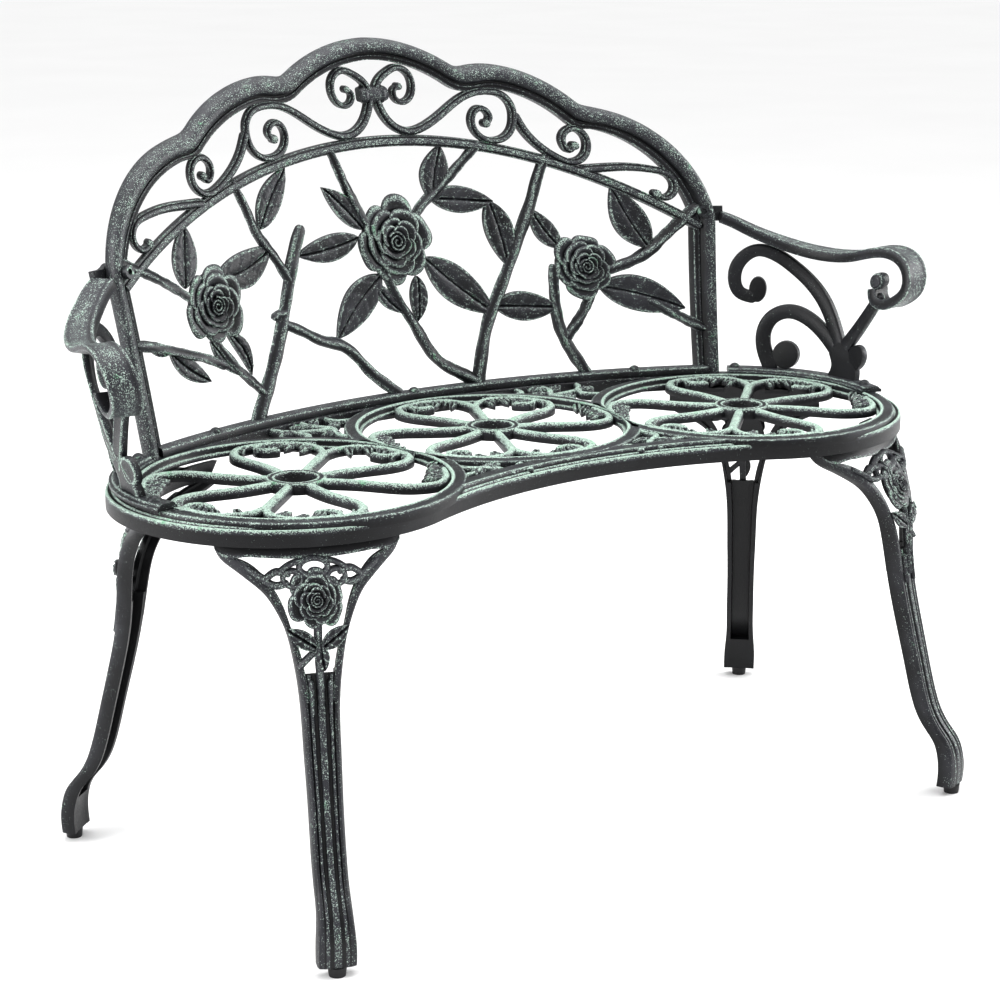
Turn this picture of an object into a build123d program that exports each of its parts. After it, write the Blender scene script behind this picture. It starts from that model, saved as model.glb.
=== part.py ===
from build123d import *
from math import asin, cos, pi, radians, sin, sqrt
import os

os.makedirs("parts", exist_ok=True)

# A cast metal garden bench for two. Lengths are in millimetres.
# X runs to the sitter's left-hand end of the bench as seen from the front (right in a front view),
# Y runs to the back and Z runs up from the floor. The drawing origin is on the floor below the
# middle of the seat; every solid is moved by PLAN_CENTRE_Y at the end so that the stored part has
# the middle of its bounding box over the origin.
PLAN_CENTRE_Y = 39.7

# ---------------------------------------------------------------- driving dimensions
SEAT_TOP = 415.0          # top of the seat's rings and spokes
RIM_TOP = 409.0           # top of the rounded rim outside the rings
PLATE_BOTTOM = 404.0      # underside of the cast seat plate
SKIRT_BOTTOM = 392.0      # lower edge of the skirt that hangs from the rim
SKIRT_WALL = 5.0
RIM_STEP = 10.0           # width of the lower rim outside the raised plate

LOBE_X, LOBE_Y, LOBE_R = 300.0, 8.0, 180.0     # round ends of the kidney-shaped seat
FRONT_ARC_Y, FRONT_ARC_R = -590.0, 489.0       # hollow front edge
REAR_ARC_Y, REAR_ARC_R = -663.0, 915.0         # full rear edge

SIDE_DISC = (292.3, 0.0)
SIDE_DISC_R = 156.6       # inside radius of the two end rings
MID_DISC = (0.0, 75.8)
MID_DISC_R = 147.3        # inside radius of the middle ring
RING_WALL = 15.0
HUB_R, HUB_HOLE_R = 31.2, 21.0
SPOKE_COUNT = 8

# The backrest lies on a leaning, bowed surface: y = BACK_Y - bow(x) + BACK_LEAN * (z - SEAT_TOP).
BACK_Y = 241.0
BACK_HALF_SPAN = 390.0
BACK_BOW = 94.3           # how far the surface comes forward at the half span
BACK_LEAN = 0.234
BACK_TOP = 830.0
FRAME_DEPTH = 20.0
SCROLL_DEPTH = 14.0
TWIG_DEPTH = 12.0
LEAF_DEPTH = 6.0
RAIL_ARCH_R = 689.0       # radius of the arched rail under the scroll band
RAIL_ARCH_TOP = 703.0
RAIL_WIDTH = 12.5
RAIL_HALF_SPAN = 395.0    # its ends run into the frame
BOTTOM_RAIL_TOP = 424.0
BOTTOM_RAIL_HALF_SPAN = 368.0
BOTTOM_RAIL_FRONT, BOTTOM_RAIL_REAR = -12.0, 3.0
KNOT = (0.0, 756.0)       # collar where the scrolls of both halves meet
ROSES = [(-258.0, 552.0, 42.0), (1.0, 592.0, 49.0), (239.0, 547.0, 38.0)]    # x, z, radius

# The arms follow a cone about the middle of the seat's round end.
ARM_R = 165.0
ARM_FLARE = 0.22
ARM_FOOT_Z = 418.0
ARM_PANEL = 9.0
STRAP_IN, STRAP_OUT = -15.0, 17.0
STRAP_THICK, STRAP_EDGE = 12.0, 6.0     # at its inner and at its outer edge
STRAP_STRAIGHT = 22.0     # foot length from which the strap runs straight on to the front
ROLL_R, ROLL_OUT = 9.5, 1.0

FLANGE_TOP = 422.0
FLANGE_IN, FLANGE_OUT = 150.0, 176.0
FLANGE_FRONT_DEG, FLANGE_REAR_DEG = -17.0, 56.0
ARM_MIDDLE = 70.0         # length along the arm's foot to the direction its tracery is drawn from
ARM_TOP = 640.0
ARM_BOLT_X, ARM_BOLT_Z = 386.0, 604.0
ARM_FOOT_BOLT_R = 164.0
ARM_FOOT_BOLT_DEGS = (-10.5, 53.0)
LUG_FACE = 8.9            # distance from the backrest's middle to the lug behind it
LUG_THICK = 8.0

# Legs: how far the face stands out from the middle of the round end, by height.
LEG_FACE = [(404, 166), (392, 171), (372, 182), (345, 196), (320, 205), (290, 210), (250, 215),
            (200, 226), (150, 239), (110, 250), (90, 258), (75, 268), (60, 280), (45, 285.7), (30, 288),
            (10, 287)]
LEG_HALF = [(404, 89), (388, 89), (380, 86), (370, 74), (360, 60), (350, 48), (335, 38), (315, 29.5),
            (290, 24), (270, 21), (250, 19), (200, 17.5), (150, 16.5), (100, 16.5), (50, 17.5), (30, 19),
            (10, 19)]
LEG_DEPTH = 17.5
LEG_WALL = 5.0
HOLLOW_LOW = 52.0         # the leg is a hollow channel above this height
LEG_PLAN_R = 172.0        # plan radius of the bowed top of the leg
LEG_FRONT_DEG = 21.5      # how far the front legs turn out from straight ahead
LEG_REAR_DEG = 138.3
LEG_REAR_BACK = 30.0      # how much nearer the rear legs stand to the middle of the round end
LEG_BOTTOM = 10.0
LEG_ROSE_Z, LEG_ROSE_OUT, LEG_ROSE_R = 346.0, 196.0, 27.0
LEG_SPRIG_OUT = 213.0     # how far out the leaves below the leg's rose stand
EAR_WIDTH, EAR_BOTTOM = 28.0, 398.0
LEG_BOLT_TOP = 410.0
LEG_PAD_R = 8.5           # round pads in the seat plate that the leg screws end in

GLIDE_R_OUT = 279.0       # distance of a glide's axis from the middle of the round end
STUD_R, STUD_LENGTH = 4.0, 22.0

BOLT_R = 3.0
BOLT_HEAD_H = 6.0
HOLE_R = 3.3
CONTACT_GAP = 0.3


# ---------------------------------------------------------------- drawing helpers
def point(p):
    return Vector(p[0], p[1], 0)


def left_normal(tangent):
    return Vector(-tangent.Y, tangent.X, 0)


def ribbon(points, start_width, end_width=None):
    """Flat strip of smoothly changing width along a curve through the points, round at both ends."""
    end_width = start_width if end_width is None else end_width
    centre = Spline(*[point(p) for p in points])
    steps = 3 * (len(points) - 1)
    left, right = [], []
    for i in range(steps + 1):
        f = i / steps
        half = (start_width + (end_width - start_width) * f) / 2
        at = centre @ f
        side = left_normal(centre % f) * half
        left.append(at + side)
        right.append(at - side)
    nose = centre @ 1 + (centre % 1) * (end_width / 2)
    tail = centre @ 0 - (centre % 0) * (start_width / 2)
    edges = [Spline(*left), ThreePointArc(left[-1], nose, right[-1]),
             Spline(*reversed(right)), ThreePointArc(right[0], tail, left[0])]
    return Face(Wire(edges))


def bar(a, b, width):
    """Straight strip with round ends."""
    a, b = point(a), point(b)
    along = (b - a).normalized()
    side = left_normal(along) * (width / 2)
    end = along * (width / 2)
    edges = [Line(a + side, b + side), ThreePointArc(b + side, b + end, b - side),
             Line(b - side, a - side), ThreePointArc(a - side, a - end, a + side)]
    return Face(Wire(edges))


def leaf(base, tip, width, bend=0.0):
    """Pointed leaf outline; bend pushes its middle sideways to the left of base-to-tip."""
    a, b = point(base), point(tip)
    along = (b - a).normalized()
    side = left_normal(along)
    length = (b - a).length
    foot = a + along * (0.42 * length) + side * bend
    edges = [Spline(a, foot + side * (width / 2), b), Spline(b, foot - side * (width / 2), a)]
    return Face(Wire(edges))


def disc(centre, radius):
    return Pos(centre[0], centre[1]) * Circle(radius)


def blossom(centre, radius, petals=7):
    """Outline of an open rose: a disc with rounded petals round it."""
    shape = disc(centre, 0.80 * radius)
    for i in range(petals):
        a = 2 * pi * i / petals + 0.3
        c = (centre[0] + 0.55 * radius * cos(a), centre[1] + 0.55 * radius * sin(a))
        shape += disc(c, 0.44 * radius)
    return shape


def joined(shapes):
    """One sketch from many overlapping flat shapes."""
    return Sketch() + list(shapes)


def band(low, high, sketch):
    """Upright prism of a plan sketch between two heights."""
    return extrude(Pos(0, 0, low) * sketch, amount=high - low, dir=(0, 0, 1))


def drill(x, y, low, high, radius=HOLE_R):
    return Pos(x, y, (low + high) / 2) * Cylinder(radius, high - low)


# ---------------------------------------------------------------- seat
def seat_outline():
    """Kidney outline: two round ends, a hollow front and a full back, all tangent arcs."""
    f = FRONT_ARC_R / (FRONT_ARC_R + LOBE_R)
    front = (LOBE_X * f, FRONT_ARC_Y + (LOBE_Y - FRONT_ARC_Y) * f)
    r = REAR_ARC_R / (REAR_ARC_R - LOBE_R)
    rear = (LOBE_X * r, REAR_ARC_Y + (LOBE_Y - REAR_ARC_Y) * r)
    edges = [
        ThreePointArc((-front[0], front[1]), (0, FRONT_ARC_Y + FRONT_ARC_R), front),
        ThreePointArc(front, (LOBE_X + LOBE_R, LOBE_Y), rear),
        ThreePointArc(rear, (0, REAR_ARC_Y + REAR_ARC_R), (-rear[0], rear[1])),
        ThreePointArc((-rear[0], rear[1]), (-LOBE_X - LOBE_R, LOBE_Y), (-front[0], front[1])),
    ]
    return Face(Wire(edges))


def polar(centre, radius, angle):
    return (centre[0] + radius * cos(angle), centre[1] + radius * sin(angle))


def crook_spoke(centre, ring_r, angle, turn):
    """Spoke whose outer end turns back along the ring and carries two small leaves."""
    step = radians(45) * turn
    reach = ring_r - 32
    points = [polar(centre, HUB_R - 4, angle), polar(centre, reach * 0.6, angle),
              polar(centre, reach, angle - 0.02 * turn), polar(centre, ring_r - 13, angle + 0.10 * step),
              polar(centre, ring_r - 5, angle + 0.32 * step), polar(centre, ring_r - 3, angle + 0.55 * step)]
    shapes = [ribbon(points, 13, 9)]
    for f, inward in ((0.42, 30), (0.62, 26)):
        shapes.append(leaf(polar(centre, ring_r - 1, angle + f * step),
                           polar(centre, ring_r - inward, angle + (f - 0.10) * step), 13))
    return shapes


def forked_spoke(centre, ring_r, angle):
    """Spoke that parts into two arms running out to the ring on both sides."""
    fork = polar(centre, ring_r - 42, angle)
    shapes = [bar(polar(centre, HUB_R - 4, angle), fork, 11)]
    for turn in (1, -1):
        step = radians(45) * turn
        points = [fork, polar(centre, ring_r - 20, angle + 0.10 * step),
                  polar(centre, ring_r - 7, angle + 0.30 * step),
                  polar(centre, ring_r - 3, angle + 0.52 * step)]
        shapes.append(ribbon(points, 9, 8))
        eye = polar(centre, ring_r - 15, angle + 0.55 * step)
        shapes.append(disc(eye, 13))
    return shapes


def rosette(centre, ring_r, first_deg, fork_at):
    """Hub and eight spokes of one ring; two opposite spokes are forked."""
    shapes = [disc(centre, HUB_R)]
    for i in range(SPOKE_COUNT):
        angle = radians(first_deg + 45 * i)
        if i % 4 == fork_at % 4:
            shapes += forked_spoke(centre, ring_r, angle)
        else:
            nearer = ((i - fork_at) % 4) == 1
            shapes += crook_spoke(centre, ring_r, angle, -1 if nearer else 1)
    return shapes


def spandrel_filigree():
    """Scrolls and leaves in the four three-cornered gaps between the rings, for one side."""
    front = [
        ribbon([(122, -30), (127, -52), (112, -66), (98, -78), (96, -98)], 9, 8),
        ribbon([(145, -80), (127, -78), (112, -66)], 9, 7),
        ribbon([(66, -72), (76, -82), (72, -96)], 8, 8),
    ]
    rear = [
        ribbon([(150, 126), (156, 150), (148, 170), (160, 190), (163, 222)], 9, 9),
        ribbon([(200, 144), (186, 158), (192, 178), (205, 196), (208, 214)], 9, 8),
        ribbon([(148, 170), (170, 172), (192, 178)], 8, 8),
        ribbon([(108, 196), (124, 198), (130, 214), (128, 230)], 8, 8),
    ]
    return front + rear


def seat():
    outline = seat_outline()
    step_edge = offset(outline, amount=-RIM_STEP)
    discs = disc(MID_DISC, MID_DISC_R)
    walls = disc(MID_DISC, MID_DISC_R + RING_WALL)
    for side in (1, -1):
        centre = (side * SIDE_DISC[0], SIDE_DISC[1])
        discs += disc(centre, SIDE_DISC_R)
        walls += disc(centre, SIDE_DISC_R + RING_WALL)
    spandrels = offset(outline, amount=-24) - walls
    rim = Sketch() + outline - discs - spandrels
    plate = Sketch() + step_edge - discs - spandrels
    filigree = spandrel_filigree()
    filigree += [mirror(f, Plane.YZ) for f in filigree]
    tracery = joined(rosette(MID_DISC, MID_DISC_R, 22.5, 1)
                     + rosette(SIDE_DISC, SIDE_DISC_R, 0, 1)
                     + rosette((-SIDE_DISC[0], SIDE_DISC[1]), SIDE_DISC_R, 0, 1)
                     + filigree)
    tracery = tracery & (Sketch() + offset(outline, amount=-RIM_STEP - 6))
    for centre in (MID_DISC, SIDE_DISC, (-SIDE_DISC[0], SIDE_DISC[1])):
        tracery -= disc(centre, HUB_HOLE_R)
    body = band(PLATE_BOTTOM, RIM_TOP, rim) + band(RIM_TOP, SEAT_TOP, plate)
    body += band(SKIRT_BOTTOM, PLATE_BOTTOM, Sketch() + outline - offset(outline, amount=-SKIRT_WALL))
    body += band(PLATE_BOTTOM + 1, SEAT_TOP, tracery)
    for x, y in back_bolt_places() + arm_bolt_places():
        body -= drill(x, y, PLATE_BOTTOM - 1, SEAT_TOP + 1)
    for x, y in leg_bolt_places():
        body += drill(x, y, PLATE_BOTTOM, LEG_BOLT_TOP + 3, LEG_PAD_R)
    for x, y in leg_bolt_places():
        body -= drill(x, y, PLATE_BOTTOM - 1, LEG_BOLT_TOP + 0.5)
    return body


# ---------------------------------------------------------------- backrest
def back_y(x, z):
    """Middle surface of the backrest, a circle in plan that leans back."""
    radius = (BACK_HALF_SPAN ** 2 + BACK_BOW ** 2) / (2 * BACK_BOW)
    return BACK_Y - radius + sqrt(radius ** 2 - x ** 2) + BACK_LEAN * (z - SEAT_TOP)


def back_slab(front, rear, low=SEAT_TOP, high=BACK_TOP):
    """Leaning, bowed slab between two offsets from the backrest's middle surface."""
    span = 430.0
    def arc(off):
        return ThreePointArc((-span, back_y(span, low) + off), (0, back_y(0, low) + off),
                             (span, back_y(span, low) + off))
    near, far = arc(front), arc(rear)
    edges = [near, Line(near @ 1, far @ 1), far, Line(far @ 0, near @ 0)]
    face = Pos(0, 0, low) * Face(Wire(edges))
    lean = Vector(0, BACK_LEAN, 1)
    return extrude(face, amount=(high - low) * lean.length, dir=lean.normalized())


def on_back(sketch, front, rear, low=SEAT_TOP, high=BACK_TOP):
    """The part of a front-view sketch that falls on a slab of the backrest."""
    prism = extrude(Plane.XZ * sketch, amount=480, dir=(0, 1, 0))
    return prism & back_slab(front, rear, low, high)


def frame_outline():
    """Scalloped outer frame: one half is drawn from arcs and mirrored."""
    outer = [ThreePointArc((381, SEAT_TOP), (390, 520), (398, 600)),
             ThreePointArc((398, 600), (367, 676), (300, 721)),
             ThreePointArc((300, 721), (281, 726), (262, 730)),
             ThreePointArc((262, 730), (200, 770), (150, 781)),
             ThreePointArc((150, 781), (132, 780), (115, 778)),
             ThreePointArc((115, 778), (60, 806), (0, 816))]
    inner = [ThreePointArc((0, 794), (52, 785), (105, 757)),
             ThreePointArc((105, 757), (118, 753), (150, 756)),
             ThreePointArc((150, 756), (200, 742), (248, 708)),
             ThreePointArc((248, 708), (256, 705), (268, 705)),
             ThreePointArc((268, 705), (339, 668), (376, 600)),
             ThreePointArc((376, 600), (368, 520), (360, SEAT_TOP))]
    edges = outer + [Line((0, 816), (0, 794))] + inner + [Line((360, SEAT_TOP), (381, SEAT_TOP))]
    half = Face(Wire(edges))
    return Sketch() + half + mirror(half, Plane.YZ)


def scroll_band():
    """Scrolls between the frame and the arched rail, right half."""
    spiral = [(4, 760), (10, 770), (22, 779), (38, 784), (50, 777), (54, 763), (49, 750), (39, 745),
              (30, 749), (28, 758), (35, 763)]
    large = [(4, 752), (8, 740), (16, 726), (30, 715), (45, 712), (62, 716), (90, 731), (115, 746),
             (135, 752), (152, 752), (168, 747), (177, 735), (178, 721), (173, 707), (162, 698), (148, 696),
             (134, 701), (126, 712), (126, 724), (134, 733), (144, 731), (148, 722), (142, 716)]
    link = [(181, 722), (190, 705), (206, 687), (226, 673), (245, 667), (258, 673), (264, 686), (260, 700),
            (248, 706), (237, 700), (235, 689), (241, 681), (248, 686)]
    hook = [(256, 658), (280, 659), (310, 659), (338, 655), (353, 649), (359, 638), (355, 626), (345, 622),
            (337, 627)]
    return [ribbon(spiral, 9, 6), ribbon(large, 10, 7), ribbon(link, 10, 7), ribbon(hook, 11, 7)]


def arch_rail():
    """Arched rail under the scrolls."""
    half_angle = asin(RAIL_HALF_SPAN / RAIL_ARCH_R)
    low = RAIL_ARCH_TOP - RAIL_ARCH_R
    def arc(radius):
        x, z = radius * sin(half_angle), low + radius * cos(half_angle)
        return ThreePointArc((-x, z), (0, low + radius), (x, z))
    outer, inner = arc(RAIL_ARCH_R + RAIL_WIDTH / 2), arc(RAIL_ARCH_R - RAIL_WIDTH / 2)
    return Face(Wire([outer, Line(outer @ 1, inner @ 1), inner, Line(inner @ 0, outer @ 0)]))


def twigs():
    """Branches of the rose bushes, as centre lines with start and end widths."""
    lines = [
        ([(-218, 418), (-196, 455), (-172, 500), (-156, 538), (-143, 572), (-131, 600), (-123, 614)],
         20, 15),
        ([(-160, 531), (-173, 527)], 9, 9),
        ([(-206, 672), (-192, 642), (-182, 617), (-165, 594), (-149, 566)], 11, 12),
        ([(-163, 518), (-135, 505), (-110, 492), (-90, 486), (-71, 473), (-55, 454), (-35, 436), (-14, 421)],
         11, 16),
        ([(-200, 448), (-222, 468), (-245, 492), (-266, 520)], 11, 10),
        ([(-374, 528), (-338, 519), (-308, 508), (-282, 500), (-256, 488)], 12, 11),
        ([(-382, 614), (-356, 602), (-325, 586), (-292, 565)], 11, 11),
        ([(-67, 698), (-55, 665), (-42, 635), (-30, 612)], 11, 12),
        ([(-14, 556), (2, 520), (18, 492), (32, 465), (45, 450), (66, 437), (92, 420)], 11, 15),
        ([(90, 418), (100, 455), (113, 490), (130, 520), (151, 556), (170, 592), (185, 620), (197, 648),
          (209, 672)], 16, 12),
        ([(34, 616), (48, 630), (62, 640), (82, 655), (102, 671), (127, 692)], 11, 10),
        ([(204, 545), (201, 505), (204, 472), (214, 448), (231, 418)], 11, 15),
        ([(250, 520), (236, 496), (211, 466)], 10, 11),
        ([(380, 610), (358, 592), (338, 575), (315, 557), (290, 546), (264, 540)], 13, 13),
        ([(316, 500), (342, 485), (373, 467)], 12, 13),
    ]
    return [ribbon(points, a, b) for points, a, b in lines]


def leaves():
    """Leaves as base, tip, width and bend."""
    shapes = [
        ((-294, 574), (-284, 640), 34, 0), ((-247, 577), (-165, 602), 38, -7), ((-178, 622), (-132, 684), 30, 2),
        ((-329, 514), (-275, 474), 22, -3), ((-268, 514), (-226, 471), 16, -2), ((-244, 522), (-216, 471), 16, 7),
        ((-36, 608), (-84, 658), 26, -2), ((-44, 600), (-131, 588), 29, 3), ((-20, 556), (-90, 492), 38, -3),
        ((-30, 548), (4, 510), 15, -3), ((28, 550), (21, 499), 22, 2), ((41, 569), (124, 499), 42, -2),
        ((124, 508), (204, 501), 34, 0), ((61, 632), (80, 694), 36, 2), ((58, 636), (139, 627), 31, 0),
        ((133, 628), (147, 553), 35, 3), ((216, 568), (184, 616), 25, 2), ((321, 564), (286, 636), 40, 2),
        ((258, 522), (354, 492), 42, 3), ((-358, 526), (-330, 512), 14, 0),
    ]
    return [leaf(*s) for s in shapes]


def backrest():
    body = on_back(frame_outline(), -FRAME_DEPTH / 2, FRAME_DEPTH / 2)
    scrolls = scroll_band()
    scrolls += [mirror(s, Plane.YZ) for s in scrolls]
    scrolls.append(arch_rail())
    scrolls.append(Pos(*KNOT) * RectangleRounded(34, 19, 7))
    outer = Sketch() + frame_fill()
    body += on_back(joined(scrolls) & outer, -SCROLL_DEPTH / 2, SCROLL_DEPTH / 2)
    body += on_back(joined(twigs()) & outer, -TWIG_DEPTH / 2, TWIG_DEPTH / 2)
    body += on_back(joined(leaves()), -LEAF_DEPTH / 2 - 1, LEAF_DEPTH / 2 - 1)
    for x, z, radius in ROSES:
        body += on_back(blossom((x, z), radius), -8, 5)
        body += on_back(disc((x, z), 0.66 * radius), -12, 5)
        body += on_back(disc((x, z), 0.36 * radius), -15, 5)
    body += bottom_rail()
    for side in (1, -1):
        body -= along_bolt(-16, 17, RegularPolygon(3.5, 12), side)
    return body


def frame_fill():
    """Everything inside the frame's middle line, used to trim what runs into the frame."""
    edges = [ThreePointArc((-368, SEAT_TOP), (-378, 520), (-385, 600)),
             ThreePointArc((-385, 600), (-350, 680), (-254, 716)),
             ThreePointArc((-254, 716), (-180, 764), (-110, 767)),
             ThreePointArc((-110, 767), (0, 805), (110, 767)),
             ThreePointArc((110, 767), (180, 764), (254, 716)),
             ThreePointArc((254, 716), (350, 680), (385, 600)),
             ThreePointArc((385, 600), (378, 520), (368, SEAT_TOP)),
             Line((368, SEAT_TOP), (-368, SEAT_TOP))]
    return Face(Wire(edges))


def bottom_rail():
    """Flat bar that carries the backrest and is bolted down on the rear of the seat."""
    height = BOTTOM_RAIL_TOP - SEAT_TOP
    strip = Pos(0, SEAT_TOP + height / 2) * Rectangle(2 * BOTTOM_RAIL_HALF_SPAN, height)
    body = on_back(strip, BOTTOM_RAIL_FRONT, BOTTOM_RAIL_REAR)
    for x, y in back_bolt_places():
        body -= drill(x, y, SEAT_TOP - 1, BOTTOM_RAIL_TOP + 1)
    return body


def back_bolt_places():
    return [(-283.0, 188.0), (0.0, 236.5), (283.0, 188.0)]


# ---------------------------------------------------------------- arms
def arm_radius(z):
    return ARM_R + ARM_FLARE * (z - ARM_FOOT_Z)


def arm_point(u, z, off=0.0):
    """Point on the right arm's cone: u is the length along its foot from the bench's X axis."""
    a = u / ARM_R
    r = arm_radius(z) + off
    return Vector(LOBE_X + r * cos(a), LOBE_Y + r * sin(a), z)


def arm_view(u, z):
    """Where an arm point shows in a straight view along the arm's middle direction."""
    return (arm_radius(z) * sin((u - ARM_MIDDLE) / ARM_R), z)


def arm_tracery():
    """Flat view of the arm's leaf-like scrolls and the foot they spring from."""
    def line(points, a, b):
        return ribbon([arm_view(*p) for p in points], a, b)
    stem = line([(22, 448), (10, 466), (-2, 486), (-14, 508), (-20, 519)], 16, 13)
    tall = line([(22, 452), (34, 474), (52, 503), (72, 525), (94, 543), (115, 556), (131, 559), (147, 548),
                 (154, 528), (148, 509), (135, 504)], 15, 14)
    low = line([(28, 450), (48, 468), (72, 484), (94, 489), (112, 480), (120, 462), (118, 442), (110, 424)],
               15, 18)
    tall_eye = Pos(*arm_view(129, 513)) * Ellipse(9.5, 15)
    low_eye = Pos(*arm_view(92, 438)) * Circle(16.5)
    heart = Pos(*arm_view(-4, 447)) * Ellipse(14, 15)
    foot = [arm_view(*p) for p in ((-12, 418), (32, 418), (30, 434), (36, 456), (24, 468), (10, 458), (-2, 440))]
    foot = make_face(Polyline(*foot, close=True))
    return joined([stem, tall, low, tall_eye, low_eye, heart, foot])


def arm_shell(half):
    """Cone-shaped sheet that the arm's tracery is cut from."""
    low, high = FLANGE_TOP - 3, ARM_TOP
    profile = Polyline((arm_radius(low) - half, low), (arm_radius(low) + half, low),
                       (arm_radius(high) + half, high), (arm_radius(high) - half, high), close=True)
    face = Plane.XZ * make_face(profile)
    return Pos(LOBE_X, LOBE_Y, 0) * revolve(face, Axis.Z)


STRAP_LINE = [(169, 598), (158, 593), (140, 583), (118, 573), (90, 564), (55, 559), (22, 562), (-8, 570),
              (-34, 572), (-53, 565), (-65, 548), (-64, 532), (-52, 520), (-35, 514), (-22, 519), (-18, 530)]
ROLL = (-22.0, 539.0)


def strap_point(u, z, off):
    """Point on the arm's cone that leaves the cone straight ahead in front of STRAP_STRAIGHT."""
    ahead = max(0.0, STRAP_STRAIGHT - u)
    at = arm_point(max(u, STRAP_STRAIGHT), z, off)
    a = STRAP_STRAIGHT / ARM_R
    return at + Vector(sin(a), -cos(a), 0) * ahead


def strap():
    """Arm rest, thinner at its outer edge, that waves forward and rolls under at its front end."""
    flat = Spline(*[point(p) for p in STRAP_LINE])
    half = STRAP_THICK / 2
    corners = {(-half, STRAP_IN): [], (half, STRAP_IN): [], (STRAP_EDGE - half, STRAP_OUT): [],
               (-half, STRAP_OUT): []}
    steps = 2 * (len(STRAP_LINE) - 1)
    for i in range(steps + 1):
        f = i / steps
        at = flat @ f
        side = left_normal(flat % f)
        reach = 0.78 + 0.22 * min(1.0, 2.2 * f)
        for (lift, off), points in corners.items():
            p = at + side * lift
            points.append(strap_point(p.X, p.Y, off * reach))
    curves = [Spline(*points) for points in corners.values()]
    faces = [Face.make_surface_from_curves(curves[i], curves[(i + 1) % 4]) for i in range(4)]
    for t in (0, 1):
        ends = [c @ t for c in curves]
        faces.append(Face.make_surface_from_curves(Line(ends[0], ends[1]), Line(ends[3], ends[2])))
    return Solid(Shell(faces))


def strap_roll():
    """Round knob at the inner edge of the arm rest's front curl."""
    inner, outer = strap_point(*ROLL, STRAP_IN), strap_point(*ROLL, ROLL_OUT)
    axis = (outer - inner).normalized()
    plane = Plane(origin=inner, z_dir=axis)
    return extrude(plane * Circle(ROLL_R), amount=(outer - inner).length, dir=axis)


def arm_bolt_axis(side=1):
    """Point on the backrest's middle surface and the direction straight through it to the rear."""
    x = side * ARM_BOLT_X
    radius = (BACK_HALF_SPAN ** 2 + BACK_BOW ** 2) / (2 * BACK_BOW)
    direction = Vector(x / sqrt(radius ** 2 - x ** 2), 1, -BACK_LEAN).normalized()
    return Vector(x, back_y(x, ARM_BOLT_Z), ARM_BOLT_Z), direction


def along_bolt(near, far, section, side=1):
    """Bar of a flat section on an arm bolt's axis between two distances from the backrest's middle."""
    at, direction = arm_bolt_axis(side)
    plane = Plane(origin=at + direction * near, z_dir=direction)
    return extrude(plane * section, amount=far - near, dir=direction)


def lug():
    """Plate behind the backrest's upright that the arm's rear end runs into."""
    at, direction = arm_bolt_axis()
    plane = Plane(origin=at + direction * LUG_FACE, x_dir=Vector(direction.Y, -direction.X, 0), z_dir=direction)
    outline = Sketch() + Circle(13) + Pos(14, -1) * Rectangle(28, 20)
    return extrude(plane * outline, amount=LUG_THICK, dir=direction) - along_bolt(-5, 40, Circle(HOLE_R))


def arm_bolt_places():
    places = []
    for deg in ARM_FOOT_BOLT_DEGS:
        x, y = polar((LOBE_X, LOBE_Y), ARM_FOOT_BOLT_R, radians(deg))
        places += [(x, y), (-x, y)]
    return places


def flange():
    """Curved foot strip of the arm, bolted down on the seat's rim."""
    a, b = radians(FLANGE_FRONT_DEG), radians(FLANGE_REAR_DEG)
    m = (a + b) / 2
    c = (LOBE_X, LOBE_Y)
    outer = ThreePointArc(polar(c, FLANGE_OUT, a), polar(c, FLANGE_OUT, m), polar(c, FLANGE_OUT, b))
    inner = ThreePointArc(polar(c, FLANGE_IN, a), polar(c, FLANGE_IN, m), polar(c, FLANGE_IN, b))
    face = Face(Wire([outer, Line(outer @ 1, inner @ 1), inner, Line(inner @ 0, outer @ 0)]))
    body = band(SEAT_TOP, FLANGE_TOP, Sketch() + face)
    for x, y in arm_bolt_places():
        body -= drill(x, y, SEAT_TOP - 1, FLANGE_TOP + 1)
    return body


def arm_right():
    a = ARM_MIDDLE / ARM_R
    outward = Vector(cos(a), sin(a), 0)
    view = Plane(origin=(LOBE_X, LOBE_Y, 0), x_dir=Vector(-outward.Y, outward.X, 0), z_dir=outward)
    panel = extrude(view * arm_tracery(), amount=260, dir=outward) & arm_shell(ARM_PANEL / 2)
    body = flange() + panel + strap() + strap_roll() + lug()
    for x, y in arm_bolt_places():
        body -= drill(x, y, FLANGE_TOP, FLANGE_TOP + 12, 7.5)
    return body


# ---------------------------------------------------------------- legs
def leg_outline(shrink=0.0):
    """Front view of a leg, or of the hollow a wall's thickness inside it."""
    points = [(half - shrink, z) for z, half in LEG_HALF]
    right = Spline(*[point(p) for p in points])
    left = Spline(*[point((-x, z)) for x, z in reversed(points)])
    edges = [right, Line(right @ 1, left @ 0), left, Line(left @ 1, right @ 0)]
    return Sketch() + Face(Wire(edges))


def leg_openings():
    """Gaps in the openwork below the leg's top, right half, plus the loop in the middle."""
    half = [
        make_face(Polyline((20, 378), (60, 381.5), (44, 366), (32, 364), (28, 371), close=True)),
        make_face(Polyline((28, 354), (37, 354), (31, 340), (25, 324), (9, 320), (24, 334), close=True)),
        make_face(Polyline((7, 300), (16, 300), (14, 286), (8, 272), (5, 276), close=True)),
        Pos(22, 363.5) * Ellipse(6, 4),
    ]
    half += [mirror(h, Plane.YZ) for h in half]
    return joined(half + [Pos(0, 372) * Ellipse(11, 5)])


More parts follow.
